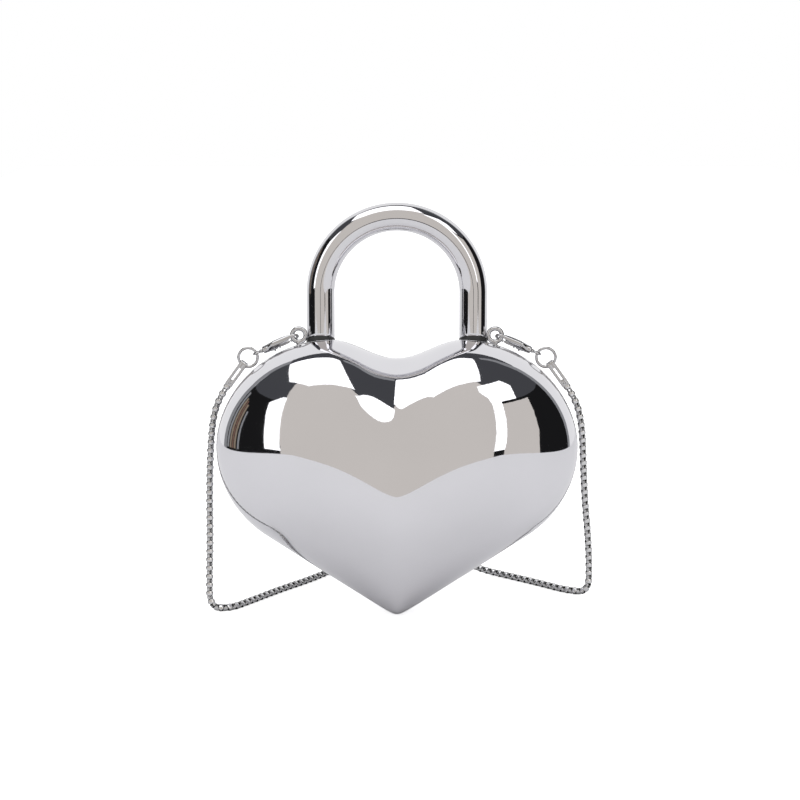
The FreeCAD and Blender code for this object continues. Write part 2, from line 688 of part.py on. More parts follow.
def coil_arcs():
    """Half-turn arcs (start, middle, end) of the coil, in on the floor and out one layer up."""
    axis = coil_axis()
    place = Vector(COIL_X, COIL_Y, COIL_LOW_Z) + axis * COIL_RADIUS
    lift = Vector(0, 0, CHAIN_PITCH)
    half_pitch = CHAIN_PITCH / 2
    radius = COIL_RADIUS
    outward = axis
    arcs = []
    for i in range(COIL_HALF_TURNS_IN + 1):
        rise = lift if i == COIL_HALF_TURNS_IN else Vector(0, 0, 0)
        end = place - outward * (2 * radius) + rise
        middle = (place + end) * 0.5 + clockwise(outward) * radius
        if rise.Length > 0:
            middle = (place + end) * 0.5 + clockwise(outward) * (end.distanceToPoint(place) / 2)
        arcs.append((place, middle, end))
        place, outward, radius = end, outward * -1, radius - half_pitch
    radius += 2 * half_pitch
    for i in range(COIL_HALF_TURNS_OUT):
        end = place - outward * (2 * radius)
        arcs.append((place, (place + end) * 0.5 + clockwise(outward) * radius, end))
        place, outward, radius = end, outward * -1, radius + half_pitch
    centre = place - outward * radius
    ends = []
    for share in (0.5, 1.0):
        turn = math.radians(-COIL_LAST_ARC_DEG * share)
        c, s = math.cos(turn), math.sin(turn)
        ends.append(centre + Vector(outward.x * c - outward.y * s, outward.x * s + outward.y * c, 0) * radius)
    arcs.append((place, ends[0], ends[1]))
    last_out = (ends[1] - centre) * (1 / radius)
    return arcs, clockwise(axis), clockwise(last_out)


COIL_ARCS, COIL_IN_WAY, COIL_OUT_WAY = coil_arcs()
COIL_IN = COIL_ARCS[0][0] - COIL_IN_WAY * CHAIN_DIAMETER
COIL_OUT = COIL_ARCS[-1][2] + COIL_OUT_WAY * CHAIN_DIAMETER

LEFT_ROUTE = [
    chain_end(LEFT),
    chain_end(LEFT) + link_way() * FIRST_RUN,
    Vector(-92.9, 6.8, 92.5),
    Vector(-94.2, 5.2, 64.0),
    Vector(-94.0, 2.6, 38.0),
    Vector(-94.5, 0.2, 17.0),
    Vector(-94.3, -1.6, CHAIN_FLOOR_Z),
    Vector(-83.8, -2.4, CHAIN_FLOOR_Z),
    Vector(-75.4, 10.4, CHAIN_FLOOR_Z),
    Vector(-59.8, 35.6, CHAIN_FLOOR_Z),
    Vector(-46.6, 53.6, CHAIN_FLOOR_Z),
    COIL_IN - COIL_IN_WAY * LAST_FLOOR_RUN,
    COIL_IN,
]
RIGHT_ROUTE = [
    COIL_OUT,
    COIL_OUT + COIL_OUT_WAY * FIRST_RUN,
    Vector(44.0, 73.4, CHAIN_FLOOR_Z + 0.8),
    Vector(59.0, 62.4, CHAIN_FLOOR_Z),
    Vector(75.6, 46.0, CHAIN_FLOOR_Z),
    Vector(87.6, 32.6, CHAIN_FLOOR_Z),
    Vector(98.8, 28.4, CHAIN_FLOOR_Z),
    Vector(99.4, 30.2, 14.0),
    Vector(98.2, 26.8, 32.0),
    Vector(95.8, 20.8, 52.0),
    Vector(94.2, 14.2, 72.0),
    Vector(92.9, 8.8, 92.5),
    chain_end(RIGHT) + mirrored_vector(link_way()) * FIRST_RUN,
    chain_end(RIGHT),
]


def route_wire(name, points):
    """Straight runs joined by tangent arcs; prints the tightest arc."""
    edges = []
    place = points[0]
    radii = []
    for before, corner, after in zip(points, points[1:], points[2:]):
        to_before = (before - corner).normalize()
        to_after = (after - corner).normalize()
        turn = math.pi - to_before.getAngle(to_after)
        shorter = min(corner.distanceToPoint(before), corner.distanceToPoint(after))
        reach = 0.45 * shorter
        radii.append(reach / math.tan(turn / 2))
        start = corner + to_before * reach
        end = corner + to_after * reach
        inward = (to_before + to_after).normalize()
        middle = corner + inward * (radii[-1] / math.cos(turn / 2) - radii[-1])
        edges.append(Part.makeLine(place, start))
        edges.append(Part.Arc(start, middle, end).toShape())
        place = end
    edges.append(Part.makeLine(place, points[-1]))
    print(name, "tightest arc", round(min(radii), 2), "mm")
    return Part.Wire(edges)


def tube(name, path):
    """Round tube along a path; prints how its volume compares with section times length."""
    first = path.Edges[0]
    way = first.tangentAt(first.FirstParameter)
    start = first.valueAt(first.FirstParameter)
    circle = Part.Wire(Part.Circle(start, way, CHAIN_DIAMETER / 2).toShape())
    solid = path.makePipeShell([circle], True, False)
    expected = math.pi * CHAIN_DIAMETER ** 2 / 4 * path.Length
    print(name, "length", round(path.Length, 1), "volume share", round(solid.Volume / expected, 4))
    return solid


def coil_wire():
    edges = [Part.makeLine(COIL_IN, COIL_ARCS[0][0])]
    edges += [Part.Arc(*arc).toShape() for arc in COIL_ARCS]
    edges.append(Part.makeLine(COIL_ARCS[-1][2], COIL_OUT))
    return Part.Wire(edges)


def self_gap(path):
    """Least space between stretches of a tube that are well apart along it."""
    points = path.discretize(Distance=2.0)
    skip = int(4 * CHAIN_DIAMETER / 2.0)
    least = FAR
    for i, here in enumerate(points):
        for there in points[i + skip:]:
            least = min(least, here.distanceToPoint(there))
    return least - CHAIN_DIAMETER


def chain_tie(path):
    """Flat band around both layers on one side of the coil, as wide as the turns there."""
    turn = math.radians(TIE_TURN_DEG)
    outward = Vector(math.cos(turn), math.sin(turn), 0)
    reaches = []
    for point in path.discretize(Distance=0.5):
        offset = point - Vector(COIL_X, COIL_Y, point.z)
        if abs(offset.dot(clockwise(outward))) < TIE_WIDTH and offset.dot(outward) > 0:
            reaches.append(offset.dot(outward))
    room = CHAIN_DIAMETER / 2 + FIT_GAP / 2
    wall = TIE_THICKNESS - FIT_GAP / 2
    inner, outer = min(reaches) - room, max(reaches) + room
    low, high = COIL_LOW_Z - room, COIL_HIGH_Z + room
    width = (-TIE_WIDTH / 2, TIE_WIDTH / 2)
    band = box((inner - wall, outer + wall), width, (low - wall, high + wall))
    band = band.cut(box((inner, outer), (-FAR, FAR), (low, high)))
    band.Placement = FreeCAD.Placement(
        Vector(COIL_X, COIL_Y, 0), FreeCAD.Rotation(Vector(0, 0, 1), TIE_TURN_DEG))
    return band


# Assembly: every node by name.
nodes = {}
nodes["front_shell"] = half_shell(FRONT)
back_shell = half_shell(BACK)
for side in (LEFT, RIGHT):
    hole = HANDLE_RADIUS + FIT_GAP + GROMMET_WIDTH
    back_shell = back_shell.cut(leg_cylinder(side, hole, PLATE_TOP_Z, FAR))
    back_shell = back_shell.cut(mirrored(stem_hole(), side))
nodes["back_shell"] = back_shell
for name, side in (("front", FRONT), ("back", BACK)):
    nodes[name + "_rim"] = half_rim(side)
    nodes[name + "_lining"] = half_lining(side)
    nodes[name + "_hinge_block"] = hinge_block(side)
    nodes["hinge_" + name + "_leaf"] = hinge_leaf(side)
    nodes["hinge_" + name + "_screws"] = Part.makeCompound(
        [leaf_screw(side, x, 0) for x in (-LEAF_SCREW_X, LEAF_SCREW_X)])
    nodes[name + "_magnets"] = Part.makeCompound(
        [magnet_disc(side, x, 0) for x in (-MAGNET_X, MAGNET_X)])
nodes["hinge_pin"] = cylinder_x(HINGE_PIN_RADIUS, BARREL_HALF_LENGTH, HINGE_Z)

back_lining = nodes["back_lining"]
for side in (LEFT, RIGHT):
    collar_hole = HANDLE_RADIUS + COLLAR_WALL + 2 * FIT_GAP
    back_lining = back_lining.cut(leg_cylinder(side, collar_hole, PLATE_TOP_Z - 10, FAR))
    nut_hole = Part.makeCylinder(NUT_ACROSS_FLATS / math.sqrt(3) + FIT_GAP, FAR, Vector(-EYE_X, STRAP_Y, 100))
    back_lining = back_lining.cut(mirrored(nut_hole, side))
nodes["back_lining"] = back_lining

sides = (LEFT, RIGHT)
nodes["handle_tube"] = handle_tube()
nodes["handle_plugs"] = Part.makeCompound([handle_plug(side) for side in sides])
nodes["handle_grommets"] = Part.makeCompound([handle_grommet(side) for side in sides])
nodes["handle_collars"] = Part.makeCompound([handle_collar(side) for side in sides])
nodes["handle_screws"] = Part.makeCompound([handle_screw(side) for side in sides])
nodes["handle_anchor_plate"] = handle_plate()

for name, side in (("left", LEFT), ("right", RIGHT)):
    nodes[name + "_strap_eye"] = mirrored(strap_eye(), side)
    nodes[name + "_claw_body"] = mirrored(placed(claw_body(), CLAW_ROLL_DEG), side)
    nodes[name + "_claw_gate"] = mirrored(placed(claw_gate(), CLAW_ROLL_DEG), side)
    pin = gate_pin_cylinder(0, CLAW_BLOCK_HALF_THICKNESS)
    nodes[name + "_gate_pin"] = mirrored(placed(pin, CLAW_ROLL_DEG), side)
    nodes[name + "_swivel_eye"] = mirrored(placed(swivel_eye(), 0), side)
    nodes[name + "_jump_ring"] = mirrored(jump_ring(), side)
    nodes[name + "_end_link"] = mirrored(on_link(end_link()), side)
    nodes[name + "_link_rivet"] = mirrored(on_link(link_rivet_cylinder(0)), side)
nodes["eye_nuts"] = Part.makeCompound([mirrored(eye_nut(), side) for side in sides])

coil_path = coil_wire()
nodes["left_chain_run"] = tube("left run", route_wire("left run", LEFT_ROUTE))
nodes["chain_coil"] = tube("coil", coil_path)
nodes["right_chain_run"] = tube("right run", route_wire("right run", RIGHT_ROUTE))
nodes["chain_tie"] = chain_tie(coil_path)
print("coil self gap", round(self_gap(coil_path), 2), "mm")

os.makedirs("parts", exist_ok=True)
for name, shape in nodes.items():
    shape.exportStep("parts/" + name + ".step")
    print(name, len(shape.Solids), "solids", round(shape.Volume, 1), "mm3", shape.isValid())
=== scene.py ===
import json
from math import asin, atan2, copysign, cos, hypot, pi, radians, sin, sqrt

import bmesh
import bpy
from mathutils import Matrix, Vector

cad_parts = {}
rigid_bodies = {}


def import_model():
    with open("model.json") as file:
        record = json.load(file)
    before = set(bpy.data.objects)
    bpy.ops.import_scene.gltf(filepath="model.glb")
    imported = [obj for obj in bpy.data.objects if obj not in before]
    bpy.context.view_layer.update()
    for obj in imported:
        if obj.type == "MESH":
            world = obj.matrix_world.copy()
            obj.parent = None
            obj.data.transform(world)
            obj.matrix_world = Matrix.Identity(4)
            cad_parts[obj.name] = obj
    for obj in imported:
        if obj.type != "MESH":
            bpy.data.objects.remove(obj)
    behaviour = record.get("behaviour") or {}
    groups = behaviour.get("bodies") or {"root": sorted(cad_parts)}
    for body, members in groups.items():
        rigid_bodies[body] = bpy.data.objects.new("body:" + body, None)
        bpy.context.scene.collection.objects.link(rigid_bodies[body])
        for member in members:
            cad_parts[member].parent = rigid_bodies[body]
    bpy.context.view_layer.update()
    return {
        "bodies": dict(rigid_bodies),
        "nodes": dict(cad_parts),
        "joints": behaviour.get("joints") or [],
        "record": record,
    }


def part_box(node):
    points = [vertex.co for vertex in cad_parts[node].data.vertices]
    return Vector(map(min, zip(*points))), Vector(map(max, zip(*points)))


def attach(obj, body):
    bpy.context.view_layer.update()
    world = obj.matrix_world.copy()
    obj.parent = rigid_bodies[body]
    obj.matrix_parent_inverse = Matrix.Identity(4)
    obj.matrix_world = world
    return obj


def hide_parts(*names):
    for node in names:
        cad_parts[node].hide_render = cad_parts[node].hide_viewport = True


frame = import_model()
nodes = frame["nodes"]

# The two shells of the heart: moulded halves of a puffy pillow, plated in mirror chrome.
# Each upright section is half an ellipse, a crease runs down from the notch, and the wall is 2.2 mm.
# They meet 0.3 mm apart, stand on a small flat at the tip and turn there on the hinge.
HEART_HALF_WIDTH = 90.0
HEART_HALF_DEPTH = 45.0
CROWN_Z = 137.8
CROWN_X = 33.0
NOTCH_DEPTH = 9.1
WIDEST_Z = 84.0
SHOULDER_POWER = 1.93
LOWER_HEIGHT = 54.0
TIP_APEX_Z = -2.5
TIP_ROUND = 2.6
SHELL_WALL = 2.2
PARTING_Y = 0.15
EDGE_ROUND = 0.28
CREASE_DEPTH = 1.8
CREASE_HALF_WIDTH = 18.0
CREASE_ROUND = 0.5
CREASE_POWER = 1.5
CREASE_FADE_LOW, CREASE_FADE_TOP = 0.7, 0.32
HINGE_Z = 1.9
RIDGE_HALF_WIDTH = 9.0
RIDGE_MARGIN = 0.6


def heart_surface(inset):
    """Gives (bottom, top, half depth) of the heart over x, in mm, with its surface moved in by inset."""
    crown = CROWN_Z - inset
    notch = crown - NOTCH_DEPTH
    lower = LOWER_HEIGHT - inset
    half_width = HEART_HALF_WIDTH - inset
    reach = half_width - CROWN_X

    def flank_slope(apex):
        drop = apex - WIDEST_Z
        a = CROWN_X ** 2 - reach ** 2
        b = 2 * CROWN_X * drop
        root = sqrt(b * b - 4 * a * (drop ** 2 - lower ** 2))
        return min(m for m in ((-b + root) / (2 * a), (-b - root) / (2 * a)) if m > 0)

    apex = TIP_APEX_Z + inset * hypot(1, flank_slope(TIP_APEX_Z))
    slope = flank_slope(apex)
    flank_end = CROWN_X - reach ** 2 * slope / (apex + slope * CROWN_X - WIDEST_Z)

    def section(x):
        depth = (HEART_HALF_DEPTH - inset) * sqrt(max(0.0, 1 - (x / half_width) ** 2))
        x = abs(x)
        share = min(1.0, max(0.0, (x - CROWN_X) / reach))
        if x <= CROWN_X:
            top = crown - (crown - notch) / 2 * (1 + cos(pi * x / CROWN_X))
        else:
            top = WIDEST_Z + (crown - WIDEST_Z) * (1 - share ** SHOULDER_POWER) ** (1 / SHOULDER_POWER)
        if x < flank_end:
            bottom = apex + slope * hypot(x, TIP_ROUND)
        else:
            bottom = WIDEST_Z - lower * sqrt(1 - share ** 2)
        return bottom, top, depth

    return section


def heart_places(fine, steps):
    """Shares of the half width from side to side, closer together along the ridge and at the sides."""
    ridge = [i * fine for i in range(int(RIDGE_HALF_WIDTH / fine) + 1)]
    start = asin((ridge[-1] + RIDGE_MARGIN) / HEART_HALF_WIDTH)
    right = [x / HEART_HALF_WIDTH for x in ridge]
    right += [sin(start + (pi / 2 - start) * i / steps) for i in range(steps + 1)]
    return [-share for share in reversed(right[1:])] + right


def eased(share):
    """Soft step from 0 to 1."""
    share = min(1.0, max(0.0, share))
    return share * share * (3 - 2 * share)


def valley_crease(x, turn):
    """How far the crease under the notch draws the surface in, fading downwards and at the parting."""
    across = max(0.0, 1 - (hypot(x, CREASE_ROUND) - CREASE_ROUND) / CREASE_HALF_WIDTH)
    low, top = eased(turn / CREASE_FADE_LOW), eased((pi / 2 - turn) / CREASE_FADE_TOP)
    return CREASE_DEPTH * across ** CREASE_POWER * low * top


def heart_row(inset, y, places, turn, trim=0.0):
    """Points of one line along the heart at a section angle, starting y from the parting plane."""
    section = heart_surface(inset)
    row = []
    for share in places:
        x = share * (HEART_HALF_WIDTH - inset)
        bottom, top, depth = section(x)
        depth = max(0.0, depth - trim)
        rise = (top - bottom) / 2
        crease = valley_crease(x, turn)
        facing = atan2(depth * sin(turn), rise * cos(turn))
        out = y + depth * cos(turn) - crease * cos(facing)
        up = (bottom + top) / 2 + rise * sin(turn) - crease * sin(facing)
        row.append((x, max(PARTING_Y, out), up))
    return row


def mesh_piece(name, shape, closed=True):
    """Makes a mesh under way a piece of the scene, with its faces turned outwards if it is closed."""
    if closed:
        bmesh.ops.recalc_face_normals(shape, faces=shape.faces)
    mesh = bpy.data.meshes.new(name)
    shape.to_mesh(mesh)
    shape.free()
    piece = bpy.data.objects.new(name, mesh)
    bpy.context.scene.collection.objects.link(piece)
    return piece


def skin_from_rows(name, rows, side):
    """Closed mesh from rows of points that go once round the section, mirrored to the given side."""
    shape = bmesh.new()
    made = [[shape.verts.new((x / 1000, side * y / 1000, z / 1000)) for x, y, z in row] for row in rows]
    for row, after in zip(made, made[1:] + made[:1]):
        for a, b, c, d in zip(row, row[1:], after[1:], after):
            shape.faces.new((a, b, c, d))
    bmesh.ops.remove_doubles(shape, verts=shape.verts, dist=1e-7)
    return mesh_piece(name, shape)


def smooth_faces(piece, sharp_deg=38):
    """Smooth shading that keeps edges over the given angle sharp."""
    shape = bmesh.new()
    shape.from_mesh(piece.data)
    for face in shape.faces:
        face.smooth = True
    for edge in shape.edges:
        edge.smooth = not edge.is_manifold or edge.calc_face_angle(0) < radians(sharp_deg)
    shape.to_mesh(piece.data)
    shape.free()


def rod(shape, radius, start, end, sides=48):
    """Adds a closed round rod between two points (mm) to a mesh under way."""
    a, b = Vector(start) / 1000, Vector(end) / 1000
    turn = Vector((0, 0, 1)).rotation_difference(b - a).to_matrix().to_4x4()
    place = Matrix.Translation((a + b) / 2) @ turn
    bmesh.ops.create_cone(shape, cap_ends=True, segments=sides, radius1=radius / 1000,
                          radius2=radius / 1000, depth=(b - a).length, matrix=place)


def block(shape, low, high):
    """Adds a closed box between two corners (mm) to a mesh under way."""
    low, high = Vector(low) / 1000, Vector(high) / 1000
    place = Matrix.Translation((low + high) / 2) @ Matrix.Diagonal((*(high - low), 1))
    bmesh.ops.create_cube(shape, size=1, matrix=place)


def shown_mesh(piece):
    """New mesh of what a piece shows."""
    bpy.context.view_layer.update()
    return bpy.data.meshes.new_from_object(piece.evaluated_get(bpy.context.evaluated_depsgraph_get()))


def apply_modifiers(piece):
    """Makes what a piece's modifiers show its own mesh."""
    ready = shown_mesh(piece)
    piece.modifiers.clear()
    piece.data = ready


def cut_away(piece, tools):
    """Takes each tool (a function that adds closed forms to a mesh under way) out of a piece."""
    for tool in tools:
        shape = bmesh.new()
        tool(shape)
        cutter = mesh_piece("cutter", shape)
        change = piece.modifiers.new("cut", "BOOLEAN")
        change.operation = "DIFFERENCE"
        change.solver = "EXACT"
        change.object = cutter
        apply_modifiers(piece)
        bpy.data.objects.remove(cutter)


def feed(tree, node, sockets):
    """Gives a node's sockets their values, or links them to another node's output."""
    for name, value in sockets.items():
        if isinstance(value, bpy.types.NodeSocket):
            tree.links.new(value, node.inputs[name])
        else:
            node.inputs[name].default_value = value


def add_node(tree, kind, output, sockets=None, **settings):
    """Adds a shader node, fed as given, and returns one of its outputs."""
    node = tree.nodes.new("ShaderNode" + kind)
    for name, value in settings.items():
        setattr(node, name, value)
    feed(tree, node, sockets or {})
    return node.outputs[output]


def two_tone(tree, share, low, high):
    """Colour that goes with a share from one (place, colour) to another."""
    ramp = add_node(tree, "ValToRGB", "Color", {"Fac": share})
    for stop, (place, colour) in zip(ramp.node.color_ramp.elements, (low, high)):
        stop.position = place
        stop.color = (*colour, 1)
    return ramp


def new_finish(name):
    """New material, with its node tree and its shader."""
    finish = bpy.data.materials.new(name)
    finish.use_nodes = True
    return finish, finish.node_tree, finish.node_tree.nodes["Principled BSDF"]


def coat(piece, finish):
    """Gives a piece its one finish."""
    piece.data.materials.clear()
    piece.data.materials.append(finish)


def noise(tree, place, scale, detail):
    """Soft cloudy pattern over a place."""
    return add_node(tree, "TexNoise", "Fac", {"Vector": place, "Scale": scale, "Detail": detail})


def spread(tree, value, low, high, start=0.0, end=1.0):
    """Carries a value from one range over to another."""
    return add_node(tree, "MapRange", "Result", {
        "Value": value, "From Min": start, "From Max": end, "To Min": low, "To Max": high})


def bump(tree, height, strength, distance, **more):
    """Fine relief from a height."""
    return add_node(tree, "Bump", "Normal", {
        "Height": height, "Strength": strength, "Distance": distance, **more})


def plated_metal(name, colour, roughness, smudge, ripple, edge=1.0):
    """Polished plated metal: faint smudges in the gloss, hairline scratches, a slight moulded ripple, and
    as chromium has it, less mirror at a grazing angle where edge is below 1."""
    finish, tree, shader = new_finish(name)
    place = add_node(tree, "TexCoord", "Object")
    cloud = noise(tree, place, 26.0, 5.0)
    gloss = spread(tree, cloud, roughness, roughness + smudge, 0.35, 0.75)
    squeeze = add_node(tree, "Mapping", "Vector", {
        "Vector": place, "Scale": (900.0, 900.0, 60.0), "Rotation": (0.5, 0.9, 0.3)})
    hairline = noise(tree, squeeze, 1.0, 2.0)
    relief = bump(tree, hairline, 0.02, 0.0002)
    swell = noise(tree, place, 34.0, 1.0)
    wave = bump(tree, swell, ripple, 0.0001, Normal=relief)
    feed(tree, shader, {
        "Metallic": 1.0, "Specular Tint": (edge, edge, edge, 1), "Roughness": gloss, "Normal": wave,
        "Base Color": two_tone(tree, cloud, (0.30, [c * 0.97 for c in colour]), (0.72, colour))})
    return finish


shell_chrome = plated_metal("mirror_chrome", (0.72, 0.715, 0.745), 0.022, 0.03, 0.35)
SHELL_PLACES = heart_places(0.35, 120)


def shell_rows():
    """Rows round one shell: outside, round at the top edge, inside, round at the bottom edge."""
    flat_edge = PARTING_Y + EDGE_ROUND
    bends = [radians(30 * i) for i in (1, 2, 3)]
    rounds = [(EDGE_ROUND * (1 - cos(a)), flat_edge - EDGE_ROUND * sin(a)) for a in bends]
    outside, inside = 140, 40
    up, down, all_trimmed = pi / 2, -pi / 2, HEART_HALF_DEPTH
    rows = []
    for i in range(outside + 1):
        rows.append(heart_row(0, flat_edge, SHELL_PLACES, down + pi * i / outside, EDGE_ROUND))
    rows += [heart_row(inset, y, SHELL_PLACES, up, all_trimmed) for inset, y in rounds]
    for i in range(inside + 1):
        rows.append(heart_row(SHELL_WALL, 0, SHELL_PLACES, up - pi * i / inside))
    rows += [heart_row(inset, y, SHELL_PLACES, down, all_trimmed) for inset, y in reversed(rounds)]
    return rows


BARREL_ROOM_RADIUS = 2.2
BARREL_ROOM_HALF_LENGTH = 5.8
PIN_ROOM_RADIUS = 0.8
PIN_ROOM_HALF_LENGTH = 11.0
LEAF_ROOM_HALF_WIDTH = 5.55
LEAF_ROOM_NEAR_Y, LEAF_ROOM_FAR_Y = 0.1, 1.0
LEAF_ROOM_TOP_Z = 15.05
TABLE_ROOM_LOW, TABLE_ROOM_HIGH = (-40, -60, -40), (40, 60, 0)


def hinge_room(side):
    """Room for the turning barrel, its pin and the leaf, and the flat that the heart stands on."""
    def across(radius, reach):
        return lambda shape: rod(shape, radius, (-reach, 0, HINGE_Z), (reach, 0, HINGE_Z))

    def leaf(shape):
        near, far = sorted((side * LEAF_ROOM_NEAR_Y, side * LEAF_ROOM_FAR_Y))
        block(shape, (-LEAF_ROOM_HALF_WIDTH, near, HINGE_Z), (LEAF_ROOM_HALF_WIDTH, far, LEAF_ROOM_TOP_Z))

    def floor(shape):
        block(shape, TABLE_ROOM_LOW, TABLE_ROOM_HIGH)
    return [across(BARREL_ROOM_RADIUS, BARREL_ROOM_HALF_LENGTH),
            across(PIN_ROOM_RADIUS, PIN_ROOM_HALF_LENGTH), leaf, floor]


LEG_X, LEG_Y = 38.0, 10.5
LEG_HOLE_RADIUS, LEG_HOLE_FOOT_Z = 7.3, 118
EYE_X, STRAP_Y = 48.8, 7.0
STEM_HOLE_RADIUS, STEM_HOLE_FOOT_Z = 1.35, 126
ABOVE_HEART_Z = 150.0


def shoulder_holes(x, y, radius, foot_z, sides=48):
    """Tool that bores down both shoulders from above the heart to a height."""
    def tool(shape):
        for at in (-x, x):
            rod(shape, radius, (at, y, foot_z), (at, y, ABOVE_HEART_Z), sides)
    return tool


HALVES = (("front", -1, "front_half"), ("back", 1, "back_half"))
for half, side, body in HALVES:
    shell = skin_from_rows(half + "_shell_skin", shell_rows(), side)
    tools = hinge_room(side)
    if half == "back":
        tools.append(shoulder_holes(LEG_X, LEG_Y, LEG_HOLE_RADIUS, LEG_HOLE_FOOT_Z, 96))
        tools.append(shoulder_holes(EYE_X, STRAP_Y, STEM_HOLE_RADIUS, STEM_HOLE_FOOT_Z))
    cut_away(shell, tools)
    smooth_faces(shell)
    coat(shell, shell_chrome)
    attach(shell, body)
    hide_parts(half + "_shell")

# Linings: a charcoal woven cloth glued over the whole inside of each shell.
# The edge runs up to the parting line and is held there by the rim.
LINING_OUT, LINING_IN = 2.5, 3.2
LINING_EDGE_Y = 0.4
COLLAR_HOLE_RADIUS, COLLAR_HOLE_FOOT_Z = 8.85, 108
NUT_HOLE_RADIUS, NUT_HOLE_FOOT_Z = 2.7, 110
LINING_PLACES = heart_places(1.0, 70)


def woven_cloth(name, warp, weft):
    """Plain weave: crossing threads in relief, two thread colours, a soft nap and slow wear in the tone."""
    finish, tree, shader = new_finish(name)
    place = add_node(tree, "TexCoord", "Object")
    thread = {"Vector": place, "Scale": 420.0, "Distortion": 0.8, "Detail": 1.0}
    across, down = [add_node(tree, "TexWave", "Fac", thread, bands_direction=way) for way in ("X", "Z")]
    over = add_node(tree, "Math", "Value", {0: across, 1: down}, operation="MULTIPLY")
    colours = add_node(tree, "Mix", "Result", {"Factor": over, "A": (*warp, 1), "B": (*weft, 1)},
                       data_type="RGBA")
    worn = noise(tree, place, 45.0, 4.0)
    fade = spread(tree, worn, 0.8, 1.15, 0.3, 0.7)
    tone = add_node(tree, "VectorMath", "Vector", {"Vector": colours, "Scale": fade}, operation="SCALE")
    relief = bump(tree, over, 0.5, 0.0003)
    feed(tree, shader, {"Roughness": 0.88, "Sheen Weight": 0.35, "Sheen Roughness": 0.45,
                        "Base Color": tone, "Normal": relief})
    return finish


def lining_rows():
    """Rows round one lining: the glued side, the top edge, the inside, the bottom edge."""
    steps = 70
    turns = [pi * (i / steps - 0.5) for i in range(steps + 1)]
    glued = [heart_row(LINING_OUT, LINING_EDGE_Y, LINING_PLACES, turn, LINING_EDGE_Y) for turn in turns]
    inner = [heart_row(LINING_IN, LINING_EDGE_Y, LINING_PLACES, -turn, LINING_EDGE_Y) for turn in turns]
    return glued + inner


lining_cloth = woven_cloth("charcoal_lining", (0.028, 0.028, 0.032), (0.075, 0.075, 0.082))
for half, side, body in HALVES:
    lining = skin_from_rows(half + "_lining_cloth", lining_rows(), side)
    tools = hinge_room(side)[:-1]
    if half == "back":
        tools.append(shoulder_holes(LEG_X, LEG_Y, COLLAR_HOLE_RADIUS, COLLAR_HOLE_FOOT_Z, 64))
        tools.append(shoulder_holes(EYE_X, STRAP_Y, NUT_HOLE_RADIUS, NUT_HOLE_FOOT_Z))
    cut_away(lining, tools)
    smooth_faces(lining)
    coat(lining, lining_cloth)
    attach(lining, body)
    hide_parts(half + "_lining")

# Rims, closing magnets and the hinge at the tip: flat steel frames over the lining's edge, two
# nickel discs pressed in each, two leaves with rolled knuckles on one pin, and their countersunk screws.
# The leaves are screwed to a moulded black block in the tip of each half.


def drawn_steel(name, colour, roughness, grain):
    """Rolled or turned steel: fine lines along one way, a cloudy tone and slightly uneven gloss."""
    finish, tree, shader = new_finish(name)
    place = add_node(tree, "TexCoord", "Object")
    squeeze = add_node(tree, "Mapping", "Vector", {"Vector": place, "Scale": grain})
    lines = noise(tree, squeeze, 1.0, 4.0)
    gloss = spread(tree, lines, roughness - 0.06, roughness + 0.08)
    relief = bump(tree, lines, 0.12, 0.0001)
    feed(tree, shader, {
        "Metallic": 1.0, "Roughness": gloss, "Normal": relief,
        "Base Color": two_tone(tree, lines, (0.28, [c * 0.86 for c in colour]), (0.74, colour))})
    return finish


def moulded_plastic(name, colour, roughness, grain):
    """Moulded plastic or rubber: a fine matt grain in relief and a little dust in the tone."""
    finish, tree, shader = new_finish(name)
    place = add_node(tree, "TexCoord", "Object")
    dust = noise(tree, place, 120.0, 6.0)
    gloss = spread(tree, dust, roughness - 0.08, roughness + 0.1)
    pores = add_node(tree, "TexVoronoi", "Distance", {"Vector": place, "Scale": grain})
    relief = bump(tree, pores, 0.25, 0.0001)
    dusty = [min(1, c * 1.6 + 0.01) for c in colour]
    feed(tree, shader, {"Roughness": gloss, "Normal": relief,
                        "Base Color": two_tone(tree, dust, (0.35, colour), (0.8, dusty))})
    return finish


def finish_nodes(finish, *names):
    """Gives a finish to pieces whose form is already right."""
    for name in names:
        coat(nodes[name], finish)


rim_steel = drawn_steel("rim_steel", (0.56, 0.56, 0.57), 0.24, (60.0, 900.0, 60.0))
finish_nodes(rim_steel, "front_rim", "back_rim")
finish_nodes(drawn_steel("magnet_nickel", (0.50, 0.49, 0.46), 0.22, (700.0, 200.0, 700.0)),
             "front_magnets", "back_magnets")
hinge_steel = drawn_steel("hinge_steel", (0.52, 0.52, 0.53), 0.3, (80.0, 700.0, 900.0))
finish_nodes(hinge_steel, "hinge_front_leaf", "hinge_back_leaf", "hinge_pin", "hinge_front_screws",
             "hinge_back_screws")
black_plastic = moulded_plastic("black_plastic", (0.018, 0.018, 0.019), 0.5, 2600.0)
finish_nodes(black_plastic, "front_hinge_block", "back_hinge_block")

# Handle: a chrome-plated steel tube of 14 mm bent to an arch. Each leg is turned down to a shallow neck
# where it passes the back shell in a rubber sleeve, and its edge above the sleeve is rounded.
# Inside, plastic collars space it off a steel plate, and a screw goes up into a plug in each leg.
HANDLE_RADIUS = 7.0
HANDLE_BORE = 5.5
HANDLE_FOOT_Z = 118.598
ARCH_Z = 159.9
TUBE_EDGE = 0.3
NECK_RADIUS = 6.7
SLEEVE_RADIUS = 7.25
SLEEVE_PROUD = 1.2
SLEEVE_SUNK = 2.0
SLEEVE_PLAY = 0.05
SHOULDER_SLOPE = -0.346


